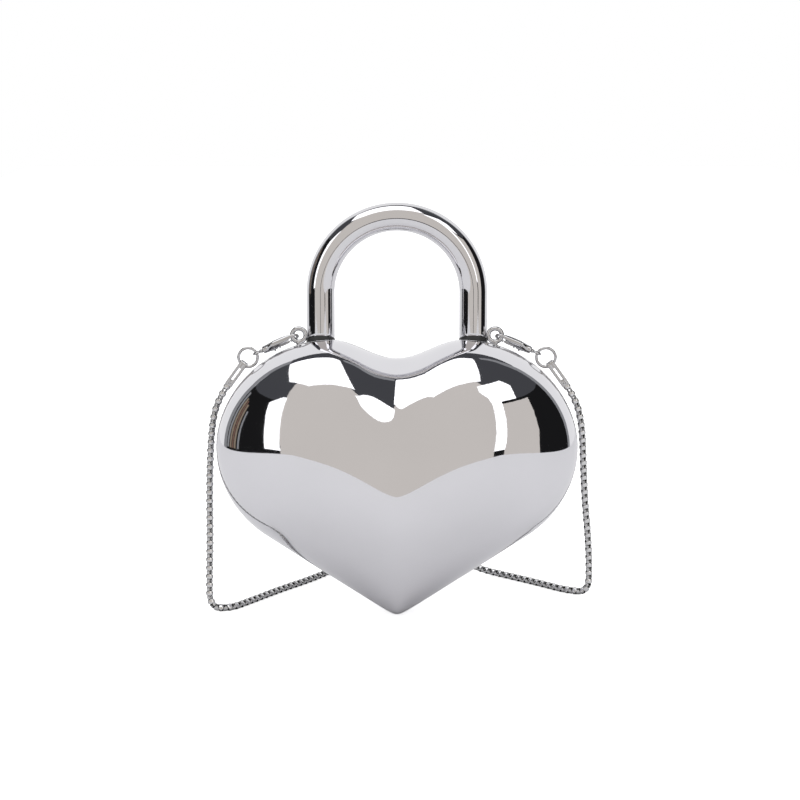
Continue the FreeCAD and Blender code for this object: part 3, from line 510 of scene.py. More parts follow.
def shoulder_z(x, y):
    """Height of the back shell's outside over a place on its shoulders."""
    bottom, top, depth = heart_surface(0)(x)
    share = (y - PARTING_Y - EDGE_ROUND) / (depth - EDGE_ROUND)
    return (bottom + top) / 2 + (top - bottom) / 2 * sqrt(1 - share ** 2)


SLEEVE_TOP_Z = shoulder_z(LEG_X, LEG_Y) + SLEEVE_PROUD


def handle_stations():
    """Rings up the left leg, over the arch and down the right leg: centre, outward way, radius and lean."""
    leg = [(HANDLE_FOOT_Z + TUBE_EDGE, HANDLE_RADIUS, 0.0)]
    for rise, radius in ((-5.5, HANDLE_RADIUS), (-5.2, NECK_RADIUS), (0.0, NECK_RADIUS), (0.1, 6.85),
                         (0.3, 6.94), (0.65, 6.985), (1.0, HANDLE_RADIUS), (1.4, HANDLE_RADIUS)):
        leg.append((SLEEVE_TOP_Z + rise, radius, SHOULDER_SLOPE))
    leg += [(ARCH_Z - 3.6 * i, HANDLE_RADIUS, 0.0) for i in (4, 3, 2, 1)]
    left, right = Vector((-1, 0, 0)), Vector((1, 0, 0))
    line = [(Vector((-LEG_X, LEG_Y, z)), left, radius, lean) for z, radius, lean in leg]
    for i in range(121):
        turn = pi * (1 - i / 120)
        out = Vector((cos(turn), 0, sin(turn)))
        line.append((Vector((0, LEG_Y, ARCH_Z)) + out * LEG_X, out, HANDLE_RADIUS, 0.0))
    line += [(Vector((LEG_X, LEG_Y, z)), right, radius, lean) for z, radius, lean in reversed(leg)]
    return line


def ring_of(shape, centre, one, other, around, frame=Matrix.Identity(4)):
    """Adds the vertices of one ring (mm in a frame), given by its centre and two half axes."""
    turns = [2 * pi * i / around for i in range(around)]
    return [shape.verts.new((frame @ (centre + one * cos(turn) + other * sin(turn))) / 1000)
            for turn in turns]


def bridge(shape, rings, closed=False):
    """Skins rings of vertices in turn: back to the first if closed, or else with both ends filled."""
    for ring, following in zip(rings, rings[1:] + rings[:1] if closed else rings[1:]):
        for a, b, c, d in zip(ring, ring[1:] + ring[:1], following[1:] + following[:1], following):
            shape.faces.new((a, b, c, d))
    if not closed:
        shape.faces.new(list(reversed(rings[0])))
        shape.faces.new(rings[-1])


def handle_mesh(name):
    """Closed tube with a bore and softly rounded ends."""
    stations = handle_stations()
    shape = bmesh.new()

    def ring(centre, out, radius, lean):
        return ring_of(shape, centre, out * radius, Vector((0, 1, lean)) * radius, 72)

    def end_rings(centre, out):
        low = Vector((centre.x, centre.y, HANDLE_FOOT_Z))
        radii = [(HANDLE_BORE + TUBE_EDGE, 0), (HANDLE_RADIUS - TUBE_EDGE, 0), (HANDLE_RADIUS - 0.09, 0.09)]
        return [ring(low + Vector((0, 0, rise)), out, radius, 0.0) for radius, rise in radii]

    rings = end_rings(*stations[0][:2])
    rings += [ring(*station) for station in stations]
    rings += list(reversed(end_rings(*stations[-1][:2])))
    rings += [ring(centre, out, HANDLE_BORE, lean) for centre, out, radius, lean in reversed(stations)]
    bridge(shape, rings, closed=True)
    return mesh_piece(name, shape)


handle = handle_mesh("arched_handle")
smooth_faces(handle, 50)
coat(handle, plated_metal("handle_chrome", (0.70, 0.695, 0.72), 0.03, 0.03, 0.12))
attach(handle, "back_half")
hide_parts("handle_tube")


def leg_sleeves(name):
    """Thin sleeve round each leg's neck, its foot in the shell's hole, its round top at the leg's edge."""
    shape = bmesh.new()
    around = 96
    inner = NECK_RADIUS + SLEEVE_PLAY
    for side in (-1, 1):
        rings = []
        for i in range(around):
            turn = 2 * pi * i / around
            ring = []
            for radius, rise in ((inner, -0.02), (SLEEVE_RADIUS - 0.35, -0.02), (SLEEVE_RADIUS - 0.12, -0.1),
                                 (SLEEVE_RADIUS, -0.34), (SLEEVE_RADIUS, None), (inner, None)):
                x, y = LEG_X + radius * cos(turn), LEG_Y + radius * sin(turn)
                z = shoulder_z(x, y) - SLEEVE_SUNK
                if rise is not None:
                    z = SLEEVE_TOP_Z + SHOULDER_SLOPE * (y - LEG_Y) + rise
                ring.append(shape.verts.new((side * x / 1000, y / 1000, z / 1000)))
            rings.append(ring)
        bridge(shape, rings, closed=True)
    return mesh_piece(name, shape)


sleeves = leg_sleeves("leg_sleeves")
smooth_faces(sleeves, 50)
coat(sleeves, moulded_plastic("black_rubber", (0.014, 0.014, 0.015), 0.5, 3400.0))
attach(sleeves, "back_half")
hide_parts("handle_grommets")
finish_nodes(black_plastic, "handle_collars")
plain_steel = drawn_steel("plain_steel", (0.50, 0.50, 0.505), 0.33, (500.0, 500.0, 90.0))
finish_nodes(plain_steel, "handle_plugs", "handle_anchor_plate", "handle_screws")

# Strap eyes: small chrome castings, a ring on a stem that goes through the shell beside each leg.
# The casting is tumbled, so its section is round, and a steel nut under the shell holds it.
EYE_CENTRE = Vector((-EYE_X, STRAP_Y, 139.287))
EYE_RADIUS = 3.35
EYE_WIRE = 1.15
STEM_RADIUS = 1.28
STEM_FOOT_Z = 126.5


def tumbled(name, build, voxel, rounds):
    """Casting with softened edges: the closed forms that build adds, grown together and smoothed."""
    shape = bmesh.new()
    build(shape)
    piece = mesh_piece(name, shape)
    grown = piece.modifiers.new("grown", "REMESH")
    grown.mode = "VOXEL"
    grown.voxel_size = voxel / 1000
    grown.use_smooth_shade = True
    softened = piece.modifiers.new("softened", "SMOOTH")
    softened.factor = 0.5
    softened.iterations = rounds
    apply_modifiers(piece)
    return piece


def round_ring(shape, centre, one, other, radius, wire):
    """Adds a ring of round section in the plane of two directions (mm) to a mesh under way."""
    count = 72
    rings = []
    for i in range(count):
        turn = 2 * pi * i / count
        out = one * cos(turn) + other * sin(turn)
        rings.append(ring_of(shape, centre + out * radius, out * wire, one.cross(other) * wire, 24))
    bridge(shape, rings, closed=True)


def eye_ring(side):
    """Ring of round section on a straight stem."""
    def build(shape):
        centre = Vector((side * EYE_X, EYE_CENTRE.y, EYE_CENTRE.z))
        round_ring(shape, centre, Vector((1, 0, 0)), Vector((0, 0, 1)), EYE_RADIUS, EYE_WIRE)
        neck = Vector((0, 0, 0.2 - EYE_RADIUS))
        rod(shape, STEM_RADIUS, (centre.x, centre.y, STEM_FOOT_Z), centre + neck)
    return build


fittings_chrome = plated_metal("fittings_chrome", (0.53, 0.53, 0.545), 0.035, 0.04, 0.0, 0.25)


def fit_piece(piece, body, node):
    """A chrome fitting that rides on a body in place of its node."""
    coat(piece, fittings_chrome)
    for face in piece.data.polygons:
        face.use_smooth = True
    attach(piece, body)
    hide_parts(node)
    return piece


HANDS = (("left", -1), ("right", 1))
for hand, side in HANDS:
    fit_piece(tumbled(hand + "_eye_casting", eye_ring(side), 0.1, 4), "back_half", hand + "_strap_eye")
finish_nodes(plain_steel, "eye_nuts")

# Lobster claws: a chrome casting with a broad spine that tapers into the hook, a forked shoulder and a
# round barrel. A sprung gate with a thumb tab turns on a riveted pin in the fork and closes the hook.
CLAW_DROP = radians(23.1)
CLAW_ROLL = radians(210)
ARM_OFFSET = 2.75
NOSE_AT = 0.7
HOOK_END_AT = 5.3
HOOK_HALF = 0.67
BARREL_END_AT = 19.4
SHANK_BORE, SHANK_BORE_FROM, SHANK_BORE_TO = 0.78, 16.1, 24.0
GATE_PIVOT_AT = 14.0
GATE_SLOT_FROM, GATE_SLOT_TO = (11.0, -6.0, -0.68), (15.14, 1.75 - ARM_OFFSET, 0.68)
GATE_TAB_HALF = 0.53
GATE_PIN_HALF, GATE_PIN_RADIUS = 1.9, 0.44


def way_down(drop):
    """Way to the left and down by an angle."""
    return Vector((-cos(drop), 0, -sin(drop)))


def hung_frame(hand, place, drop, roll=0.0):
    """Frame of a left fitting or its mirror image on the right: x along it, y across, z through."""
    along, across = way_down(drop), Vector((0, 1, 0))
    axes = Matrix((along, across, along.cross(across))).transposed().to_4x4()
    frame = Matrix.Translation(place) @ (axes @ Matrix.Rotation(roll, 4, "X"))
    return frame if hand == "left" else Matrix.Diagonal((-1, 1, 1, 1)) @ frame


def round_loft(shape, frame, sections, around=28):
    """Adds a closed form through sections of (centre, two half axes as vectors), in mm in a frame."""
    bridge(shape, [ring_of(shape, *section, around, frame) for section in sections])


def straight(rows):
    """Sections square to x for round_loft: rows of (x, y, half size across, half size through)."""
    return [(Vector((x, y, 0)), Vector((0, across, 0)), Vector((0, 0, through)))
            for x, y, across, through in rows]


def half_turn(centre, radius, half, depths):
    """Sections bent from +y over -x to -y about a centre for round_loft, one for each half depth."""
    sections = []
    for i, depth in enumerate(depths):
        turn = pi / 2 + pi * i / (len(depths) - 1)
        out = Vector((cos(turn), sin(turn), 0))
        sections.append((centre + out * radius, out * half, Vector((0, 0, depth))))
    return sections


def claw_casting(frame):
    """Spine, hook, shoulder and barrel as closed forms that grow together."""
    def build(shape):
        spine = ((13.6, 3.40, -1.10, 1.95), (12.2, 3.42, -0.98, 1.95), (10.4, 3.42, -0.36, 1.90),
                 (8.6, 3.40, 0.28, 1.80), (7.0, 3.38, 0.88, 1.64), (5.8, 3.37, 1.42, 1.42),
                 (4.9, 3.38, 1.92, 1.18), (4.2, 3.41, 2.08, 0.96))
        line = straight([(at, (high + low) / 2, (high - low) / 2, thick) for at, high, low, thick in spine])
        line += half_turn(Vector((NOSE_AT + ARM_OFFSET, 0, 0)), ARM_OFFSET, HOOK_HALF,
                          [max(HOOK_HALF, 0.86 - 0.1 * i) for i in range(13)])
        line += straight([(HOOK_END_AT - 0.35, -ARM_OFFSET, -0.66, 0.66),
                          (HOOK_END_AT, -ARM_OFFSET, -0.5, 0.5)])
        round_loft(shape, frame, line)
        body = ((11.7, 2.3, 1.3), (12.2, 3.1, 1.8), (13.2, 3.45, 1.95), (14.4, 3.35, 1.98), (15.4, 2.8, 1.98),
                (16.4, 2.25, 1.96), (17.4, 1.98, 1.94), (18.6, 1.92, 1.92), (19.2, 1.8, 1.8),
                (BARREL_END_AT, 1.5, 1.5))
        round_loft(shape, frame, straight([(at, 0, wide, thick) for at, wide, thick in body]), 40)
    return build


def claw_openings(frame):
    """Slot for the gate and bore for the swivel's shank."""
    def slot(shape):
        block(shape, GATE_SLOT_FROM, GATE_SLOT_TO)
        for vertex in shape.verts:
            vertex.co = frame @ (vertex.co * 1000) / 1000

    def bore(shape):
        inner, outer = Vector((SHANK_BORE_FROM, 0, 0)), Vector((SHANK_BORE_TO, 0, 0))
        rod(shape, SHANK_BORE, frame @ inner, frame @ outer, 32)
    return [slot, bore]


def gate_bar(frame):
    """Gate with a round heel, a slim rounded bar and a thumb tab that leans back."""
    def build(shape):
        bar = ((5.5, 0.42, 0.42), (5.75, 0.6, 0.6), (6.4, 0.68, 0.8), (7.4, 0.7, 0.88), (9.6, 0.7, 0.88),
               (10.6, 0.66, 0.74), (11.2, 0.64, 0.56), (13.0, 0.8, 0.55), (13.6, 0.98, 0.55),
               (14.2, 0.98, 0.55), (14.7, 0.72, 0.55), (14.98, 0.3, 0.5))
        round_loft(shape, frame, straight([(at, -ARM_OFFSET, half, thick) for at, half, thick in bar]))
        tab = ((0.1, 11.1, 0.75), (0.8, 11.15, 0.68), (1.5, 11.28, 0.6), (2.0, 11.4, 0.52), (2.2, 11.45, 0.3))
        round_loft(shape, frame, [(Vector((at, -ARM_OFFSET - reach, 0)), Vector((half, 0, 0)),
                                   Vector((0, 0, GATE_TAB_HALF))) for reach, at, half in tab])
    return build


def domed_pin(name, frame, start, end, radius, dome):
    """Turned pin with a low dome at both ends."""
    way = (end - start).normalized()
    side = way.orthogonal().normalized()
    other = way.cross(side)
    length = (end - start).length
    profile = [(0, 0.25), (dome * 0.35, 0.7), (dome * 0.75, 0.93), (dome, 1.0)]
    places = profile + [(length - at, share) for at, share in reversed(profile)]
    shape = bmesh.new()
    round_loft(shape, frame, [(start + way * at, side * radius * share, other * radius * share)
                              for at, share in places])
    return mesh_piece(name, shape)


for hand in ("left", "right"):
    rolled = hung_frame(hand, EYE_CENTRE, CLAW_DROP, CLAW_ROLL)
    claw = tumbled(hand + "_claw_casting", claw_casting(rolled), 0.12, 5)
    cut_away(claw, claw_openings(rolled))
    fit_piece(claw, hand + "_claw", hand + "_claw_body")
    smooth_faces(claw, 42)
    pin_half = Vector((0, 0, GATE_PIN_HALF))
    pin_at = Vector((GATE_PIVOT_AT, -ARM_OFFSET, 0))
    pin = domed_pin(hand + "_gate_rivet", rolled, pin_at - pin_half, pin_at + pin_half, GATE_PIN_RADIUS, 0.2)
    fit_piece(pin, hand + "_claw", hand + "_gate_pin")
    gate = tumbled(hand + "_gate_casting", gate_bar(rolled), 0.09, 4)
    fit_piece(gate, hand + "_gate", hand + "_claw_gate")

# Swivels, jump rings and end links: a cast eye sits in each claw's barrel, and a round wire ring closed
# with a fine split joins it to the strap. A slotted strip folded over the ring takes the last link
# on a rivet.
SWIVEL_AT = 22.7
SWIVEL_RADIUS = 1.7
SWIVEL_WIRE = 0.58
JUMP_RADIUS = 4.75
JUMP_WIRE = 0.75
JUMP_PLAY = 0.3
JUMP_DROP = radians(27.5)
LINK_DROP = radians(54)
RIVET_AT = 10.9
RIVET_HALF, RIVET_RADIUS = 1.68, 0.59
RIVET_HOLE_RADIUS = 0.61
STRIP_HALF_GAP = 1.25
STRIP_HALF_THICKNESS = 0.31
STRIP_FOLD_AT = -0.65
STRIP_LENGTH = 12.3


def swivel_ring(hand):
    """Ring across the jump ring on a shouldered shank that turns in the claw's barrel."""
    frame = hung_frame(hand, EYE_CENTRE, CLAW_DROP)
    origin = frame.translation
    along, across = (frame @ Vector((1, 0, 0))) - origin, (frame @ Vector((0, 1, 0))) - origin

    def build(shape):
        round_ring(shape, frame @ Vector((SWIVEL_AT, 0, 0)), along, across, SWIVEL_RADIUS, SWIVEL_WIRE)
        shank = ((16.2, 0.72), (19.5, 0.72), (19.62, 1.02), (20.1, 1.08), (20.5, 0.94), (21.1, 0.62))
        round_loft(shape, frame, straight([(at, 0, radius, radius) for at, radius in shank]), 24)
    return build


def folded_strip(frame):
    """Strip folded over the ring: a bar each side of the slot, joined at the fold and at the rivet."""
    def build(shape):
        for z, half, end in ((-1.25, 0.7, STRIP_LENGTH), (1.25, 0.7, STRIP_LENGTH), (0, 1.5, 1.9)):
            ends = [(Vector((end, side * STRIP_HALF_GAP, z)), Vector((0, side * STRIP_HALF_THICKNESS, 0)),
                     Vector((0, 0, half))) for side in (1, -1)]
            fold = half_turn(Vector((STRIP_FOLD_AT, 0, z)), STRIP_HALF_GAP, STRIP_HALF_THICKNESS, [half] * 13)
            round_loft(shape, frame, ends[:1] + fold + ends[1:], 20)
        for y in (-STRIP_HALF_GAP, STRIP_HALF_GAP):
            plate = ((9.4, 1.1, 0.7), (9.8, 1.5, 0.95), (12.0, 1.7, 1.0), (STRIP_LENGTH, 1.5, 0.7))
            round_loft(shape, frame, straight([(at, y, STRIP_HALF_THICKNESS * share, half)
                                               for at, half, share in plate]), 20)
    return build


def split_ring(name, centre, radius, wire, split_at):
    """Round wire ring that stands across the view, with a hair-fine split."""
    shape = bmesh.new()
    rings = []
    count = 120
    gap = 0.05 / radius
    for i in range(count + 1):
        turn = split_at + gap + (2 * pi - 2 * gap) * i / count
        out = Vector((cos(turn), 0, sin(turn)))
        thin = wire * (0.93 if i in (0, count) else 1.0)
        rings.append(ring_of(shape, centre + out * radius, out * thin, Vector((0, thin, 0)), 24))
    bridge(shape, rings)
    return mesh_piece(name, shape)


strap_ends = []
for hand, side in HANDS:
    swivel = tumbled(hand + "_swivel_casting", swivel_ring(hand), 0.07, 2)
    fit_piece(swivel, "back_half", hand + "_swivel_eye")
    swivel_centre = hung_frame("left", EYE_CENTRE, CLAW_DROP) @ Vector((SWIVEL_AT, 0, 0))
    jump_centre = swivel_centre + way_down(JUMP_DROP) * (JUMP_RADIUS + JUMP_PLAY)
    strip_frame = hung_frame(hand, jump_centre + way_down(LINK_DROP) * JUMP_RADIUS, LINK_DROP)
    rivet_at = strip_frame @ Vector((RIVET_AT, 0, 0))
    jump_centre.x *= -side
    ring = split_ring(hand + "_jump_wire", jump_centre, JUMP_RADIUS, JUMP_WIRE, radians(90 - side * 62))
    fit_piece(ring, "back_half", hand + "_jump_ring")
    link = tumbled(hand + "_end_strip", folded_strip(strip_frame), 0.08, 3)

    def rivet_hole(shape):
        rod(shape, RIVET_HOLE_RADIUS, rivet_at - Vector((0, 3, 0)), rivet_at + Vector((0, 3, 0)), 32)

    cut_away(link, [rivet_hole])
    fit_piece(link, "back_half", hand + "_end_link")
    smooth_faces(link, 48)
    rivet_half = Vector((0, RIVET_HALF, 0))
    rivet = domed_pin(hand + "_end_rivet", Matrix.Identity(4), rivet_at - rivet_half, rivet_at + rivet_half,
                      RIVET_RADIUS, 0.22)
    fit_piece(rivet, "back_half", hand + "_link_rivet")
    strap_ends += [ring, link, rivet]

# Strap: about 1.15 m of round box chain, links bent from flat chromed strip with painted shade inside and
# along the strip edges, each across the next; a narrow last link at each end hangs on the end link's rivet.
# What lies behind the heart is put away in one coil of two layers with a plastic band round it.
CHAIN_DIAMETER = 3.7
FLOOR_Z = CHAIN_DIAMETER / 2
LINK_STEP = 2.13
LINK_HALF_STRIP, LAST_LINK_HALF_STRIP = 1.84, 0.85
CHAIN_TWIST, CHAIN_TWIST_LINKS = radians(16), 6
STEEP_GAIN = 1.6
DIAGONAL = 0.7071
COIL_CENTRE = Vector((0.0, 78.0, 0.0))
COIL_RADIUS = 26.0
COIL_PITCH = 4.2
COIL_LOW_Z = 2.3
COIL_START = radians(145.5)
COIL_POINTS = 8
COIL_CLIMB, COIL_LAST = 5, 10
COIL_LAST_POINTS, COIL_LAST_SWEEP = 4, radians(99)
left_hang = [
    (-84.24, 7.0, 114.19), (-89.53, 7.0, 106.91), (-92.9, 6.8, 92.5), (-94.2, 5.2, 64.0),
    (-94.0, 2.6, 38.0), (-94.5, 0.2, 17.0), (-94.3, -1.6, FLOOR_Z), (-83.8, -2.4, FLOOR_Z),
    (-75.4, 10.4, FLOOR_Z), (-59.8, 35.6, FLOOR_Z), (-46.6, 53.6, FLOOR_Z),
    (-32.58, 76.49, COIL_LOW_Z), (-23.52, 89.68, COIL_LOW_Z)]
right_hang = [
    (24.0, 91.9, COIL_LOW_Z + COIL_PITCH), (30.5, 85.7, COIL_LOW_Z + COIL_PITCH), (44.0, 73.4, FLOOR_Z + 0.8),
    (59.0, 62.4, FLOOR_Z), (75.6, 46.0, FLOOR_Z), (87.6, 32.6, FLOOR_Z), (98.8, 28.4, FLOOR_Z),
    (99.4, 30.2, 14.0), (98.2, 26.8, 32.0), (95.8, 20.8, 52.0), (94.2, 14.2, 72.0), (92.9, 8.8, 92.5),
    (89.53, 7.0, 106.91), (84.24, 7.0, 114.19)]


def coil_turns():
    """Guide points of the coil: five half turns inwards on the table, a climb, four outwards on top."""
    points = []
    outward = Vector((cos(COIL_START), sin(COIL_START), 0))
    place = COIL_CENTRE + outward * COIL_RADIUS
    radius = COIL_RADIUS
    height = COIL_LOW_Z
    swell = 1 / cos(pi / 2 / COIL_POINTS)
    for number in range(COIL_LAST + 1):
        climbing = number == COIL_CLIMB
        if number == COIL_CLIMB + 1:
            radius += COIL_PITCH
        centre = place - outward * radius
        count = COIL_LAST_POINTS if number == COIL_LAST else COIL_POINTS
        sweep = COIL_LAST_SWEEP if number == COIL_LAST else pi
        for i in range(count):
            share = (i + 0.5) / count
            spoke = Matrix.Rotation(-sweep * share, 3, "Z") @ outward
            climb = COIL_PITCH * (1 - cos(pi * share)) / 2 if climbing else 0
            points.append(centre + spoke * radius * swell + Vector((0, 0, height + climb)))
        if climbing:
            height += COIL_PITCH
        place = centre - outward * radius
        outward = -outward
        radius += -COIL_PITCH / 2 if number <= COIL_CLIMB else COIL_PITCH / 2
    return [tuple(point) for point in points]


route = bpy.data.curves.new("chain_route", "CURVE")
route.dimensions = "3D"
route.resolution_u = 16
line = route.splines.new("NURBS")
guide_points = left_hang + coil_turns() + right_hang
line.points.add(len(guide_points) - 1)
for point, guide in zip(line.points, guide_points):
    point.co = (*[value / 1000 for value in guide], 1)
line.order_u = 3
line.use_endpoint_u = True
route_piece = bpy.data.objects.new("chain_route", route)
bpy.context.scene.collection.objects.link(route_piece)
chain_line = [vertex.co.copy() for vertex in shown_mesh(route_piece).vertices]
bpy.data.objects.remove(route_piece)


def chain_link(half_strip):
    """Ring of flat strip with broad round sides and narrow ends: rows of (point, painted shade)."""
    half_length, half_width, thickness, half_end, least_bore = 1.66, 1.40, 0.56, 0.80, 0.3
    squareness, neck_from, neck_over = 0.74, 0.42, 0.4
    # Painted shade: the colour is darkened inside each link ring and along the strip's edges, where shade
    # falls between the links.
    inside_painted_shade, edge_painted_shade = 0.9, 0.3
    loops = []
    around = 24
    for i in range(around):
        turn = 2 * pi * i / around
        c, s = cos(turn), sin(turn)
        along = copysign(abs(c) ** squareness, c)
        across = copysign(abs(s) ** squareness, s)
        neck = eased((abs(along) - neck_from) / neck_over)
        strip = half_strip + (min(half_strip, half_end) - half_strip) * neck
        loop = []
        for depth, height in ((0, -0.9), (0, -0.55), (0, 0), (0, 0.55), (0, 0.9), (0.25, 1), (0.75, 1),
                              (1, 0.9), (1, -0.9), (0.75, -1), (0.25, -1)):
            q = strip * height
            turned = min(half_width, sqrt((CHAIN_DIAMETER / 2) ** 2 - q * q))
            inward = thickness * depth
            point = (along * (half_length - inward), across * max(least_bore, turned - inward), q)
            loop.append((point, (1 - inside_painted_shade * depth) * (1 - edge_painted_shade * abs(height) ** 3)))
        loops.append(loop)
    return loops


def box_chain(name, points):
    """Mesh of links along the line, alternately turned. Level runs lie on a corner, others twist."""
    lengths = [0.0]
    for a, b in zip(points, points[1:]):
        lengths.append(lengths[-1] + (b - a).length)
    link, last_link = chain_link(LINK_HALF_STRIP), chain_link(LAST_LINK_HALF_STRIP)
    shape = bmesh.new()
    shade_layer = shape.verts.layers.float_color.new("shade")
    count = int(lengths[-1] * 1000 / LINK_STEP) | 1
    step = lengths[-1] / count
    at = 0
    for number in range(-1, count + 1):
        wanted = (number + 0.5) * step
        while at + 2 < len(lengths) and lengths[at + 1] < wanted:
            at += 1
        share = (wanted - lengths[at]) / (lengths[at + 1] - lengths[at])
        place = points[at].lerp(points[at + 1], share)
        before = points[max(0, at - 1)]
        after = points[min(len(points) - 1, at + 2)]
        way = (after - before).normalized()
        upright = min(1.0, way.z ** 2 * STEEP_GAIN)
        level = Vector((0, 0, 1)) - way * way.z
        level = (level + Vector((0, 0, 1)).cross(way)) * (1 - upright)
        twist = CHAIN_TWIST * eased(min(number, count - 1 - number) / CHAIN_TWIST_LINKS)
        facing = Vector((-sin(twist), cos(twist), 0))
        facing -= way * facing.dot(way)
        flat = (facing * upright + level * DIAGONAL).normalized()
        flat = (flat - way * flat.dot(way)).normalized()
        side = flat.cross(way)
        if number % 2 == 0:
            flat, side = side, -flat
        rows = []
        for loop in last_link if number in (-1, count) else link:
            row = []
            for (x, y, z), shade in loop:
                vertex = shape.verts.new(place + (way * x + side * y + flat * z) / 1000)
                vertex[shade_layer] = (shade, shade, shade, 1)
                row.append(vertex)
            rows.append(row)
        bridge(shape, rows, closed=True)
    for face in shape.faces:
        face.smooth = True
    return mesh_piece(name, shape)


chain = box_chain("box_chain", chain_line)
chain_chrome = plated_metal("chain_chrome", (0.68, 0.68, 0.69), 0.07, 0.05, 0.0, 0.35)
chain_tree = chain_chrome.node_tree
chain_base = chain_tree.nodes["Principled BSDF"].inputs["Base Color"]
# The chain's colour is multiplied by the painted shade kept on its vertices.
chain_shade = add_node(chain_tree, "Attribute", "Color", attribute_name="shade")
chain_tone = add_node(chain_tree, "Mix", "Result", {
    "Factor": 1.0, "A": chain_base.links[0].from_socket, "B": chain_shade},
    data_type="RGBA", blend_type="MULTIPLY")
chain_tree.links.new(chain_tone, chain_base)
coat(chain, chain_chrome)
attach(chain, "back_half")
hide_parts("left_chain_run", "chain_coil", "right_chain_run")

tie_low, tie_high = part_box("chain_tie")
TIE_HALF_WIDTH = 1.5
TIE_THICKNESS = 0.4
TIE_CORNER = 1.5
TIE_LAP_PLAY = 0.04


def tie_line():
    """Path of the band's middle round the turns, across them, its end lapped over its start."""
    near, far = tie_low.y * 1000 + TIE_THICKNESS / 2, tie_high.y * 1000 - TIE_THICKNESS / 2
    low, high = tie_low.z * 1000 + TIE_THICKNESS / 2, tie_high.z * 1000 - TIE_THICKNESS / 2
    corners = [(far - TIE_CORNER, high - TIE_CORNER, 0), (far - TIE_CORNER, low + TIE_CORNER, 90),
               (near + TIE_CORNER, low + TIE_CORNER, 180), (near + TIE_CORNER, high - TIE_CORNER, 270)]
    middle = (near + far) / 2
    line = [(middle - 4, high, 0), (middle + 2, high, 0)]
    for y, z, start in corners:
        for i in range(7):
            turn = radians(start + 15 * i)
            line.append((y + TIE_CORNER * sin(turn), z + TIE_CORNER * cos(turn), start + 15 * i))
    lapped = high + TIE_THICKNESS + TIE_LAP_PLAY
    line += [(middle - 6.5, high, 360), (middle - 5, high + TIE_THICKNESS * 0.7, 360),
             (middle - 4, lapped, 360), (middle + 3.5, lapped, 360)]
    return line


tie_shape = bmesh.new()
tie_rings = []
for y, z, turn in tie_line():
    out = Vector((0, sin(radians(turn)), cos(radians(turn))))
    band = [(-1, 0.5), (-0.94, 0.92), (-0.6, 1), (0.6, 1), (0.94, 0.92), (1, 0.5)]
    band += [(-wide, -thick) for wide, thick in band]
    ring = [Vector((TIE_HALF_WIDTH * wide, y, z)) + out * TIE_THICKNESS / 2 * thick for wide, thick in band]
    tie_rings.append([tie_shape.verts.new(spot / 1000) for spot in ring])
bridge(tie_shape, tie_rings)
tie = mesh_piece("lapped_band", tie_shape)
smooth_faces(tie, 45)
coat(tie, moulded_plastic("band_plastic", (0.30, 0.30, 0.305), 0.42, 3000.0))
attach(tie, "back_half")
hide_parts("chain_tie")

# Studio: a white table and backdrop, with the darker room, soft boxes and pale panels of the studio
# standing where the mirror finish shows them. The room is far off and seen in reflections only.
STUDIO_RADIUS = 7.0
SHELF_FOOT = -6
TABLE_LIFT = 0.72
ROOM_FILL = 0.85


def glow(name, colour, strength=1.0):
    """Plain evenly lit stage surface."""
    finish, tree, shader = new_finish(name)
    light = add_node(tree, "Emission", "Emission", {"Color": (*colour, 1), "Strength": strength})
    feed(tree, tree.nodes["Material Output"], {"Surface": light})
    tree.nodes.remove(shader)
    return finish


def hang_card(card, finish):
    """Makes a card show in reflections only and keep no light from the object."""
    coat(card, finish)
    card.visible_camera = False
    card.visible_diffuse = False
    card.visible_shadow = False
    card.visible_transmission = False


def studio_card(name, rows, distance, finish):
    """Curved card seen in reflections: rows of (elevation, left azimuth, right azimuth) in degrees."""
    columns = 24
    shape = bmesh.new()
    made = []
    filled = []
    for low, high in zip(rows, rows[1:]):
        steps = max(1, int(abs(high[0] - low[0]) / 3))
        filled += [[a + (b - a) * i / steps for a, b in zip(low, high)] for i in range(steps)]
    for elevation, left, right in filled + [list(rows[-1])]:
        row = []
        for i in range(columns + 1):
            azimuth = radians(left + (right - left) * i / columns)
            e = radians(elevation)
            way = Vector((sin(azimuth) * cos(e), -cos(azimuth) * cos(e), sin(e)))
            row.append(shape.verts.new(way * distance + Vector((0, 0, 0.08))))
        made.append(row)
    for row, after in zip(made, made[1:]):
        for a, b, c, d in zip(row, row[1:], after[1:], after):
            shape.faces.new((a, b, c, d))
    hang_card(mesh_piece(name, shape, closed=False), finish)


def overhead_card(name, corners, height, finish):
    """Flat card overhead: corners as (x, y) for each metre of height."""
    shape = bmesh.new()
    shape.faces.new([shape.verts.new((x * height, y * height, height)) for x, y in corners])
    hang_card(mesh_piece(name, shape, closed=False), finish)


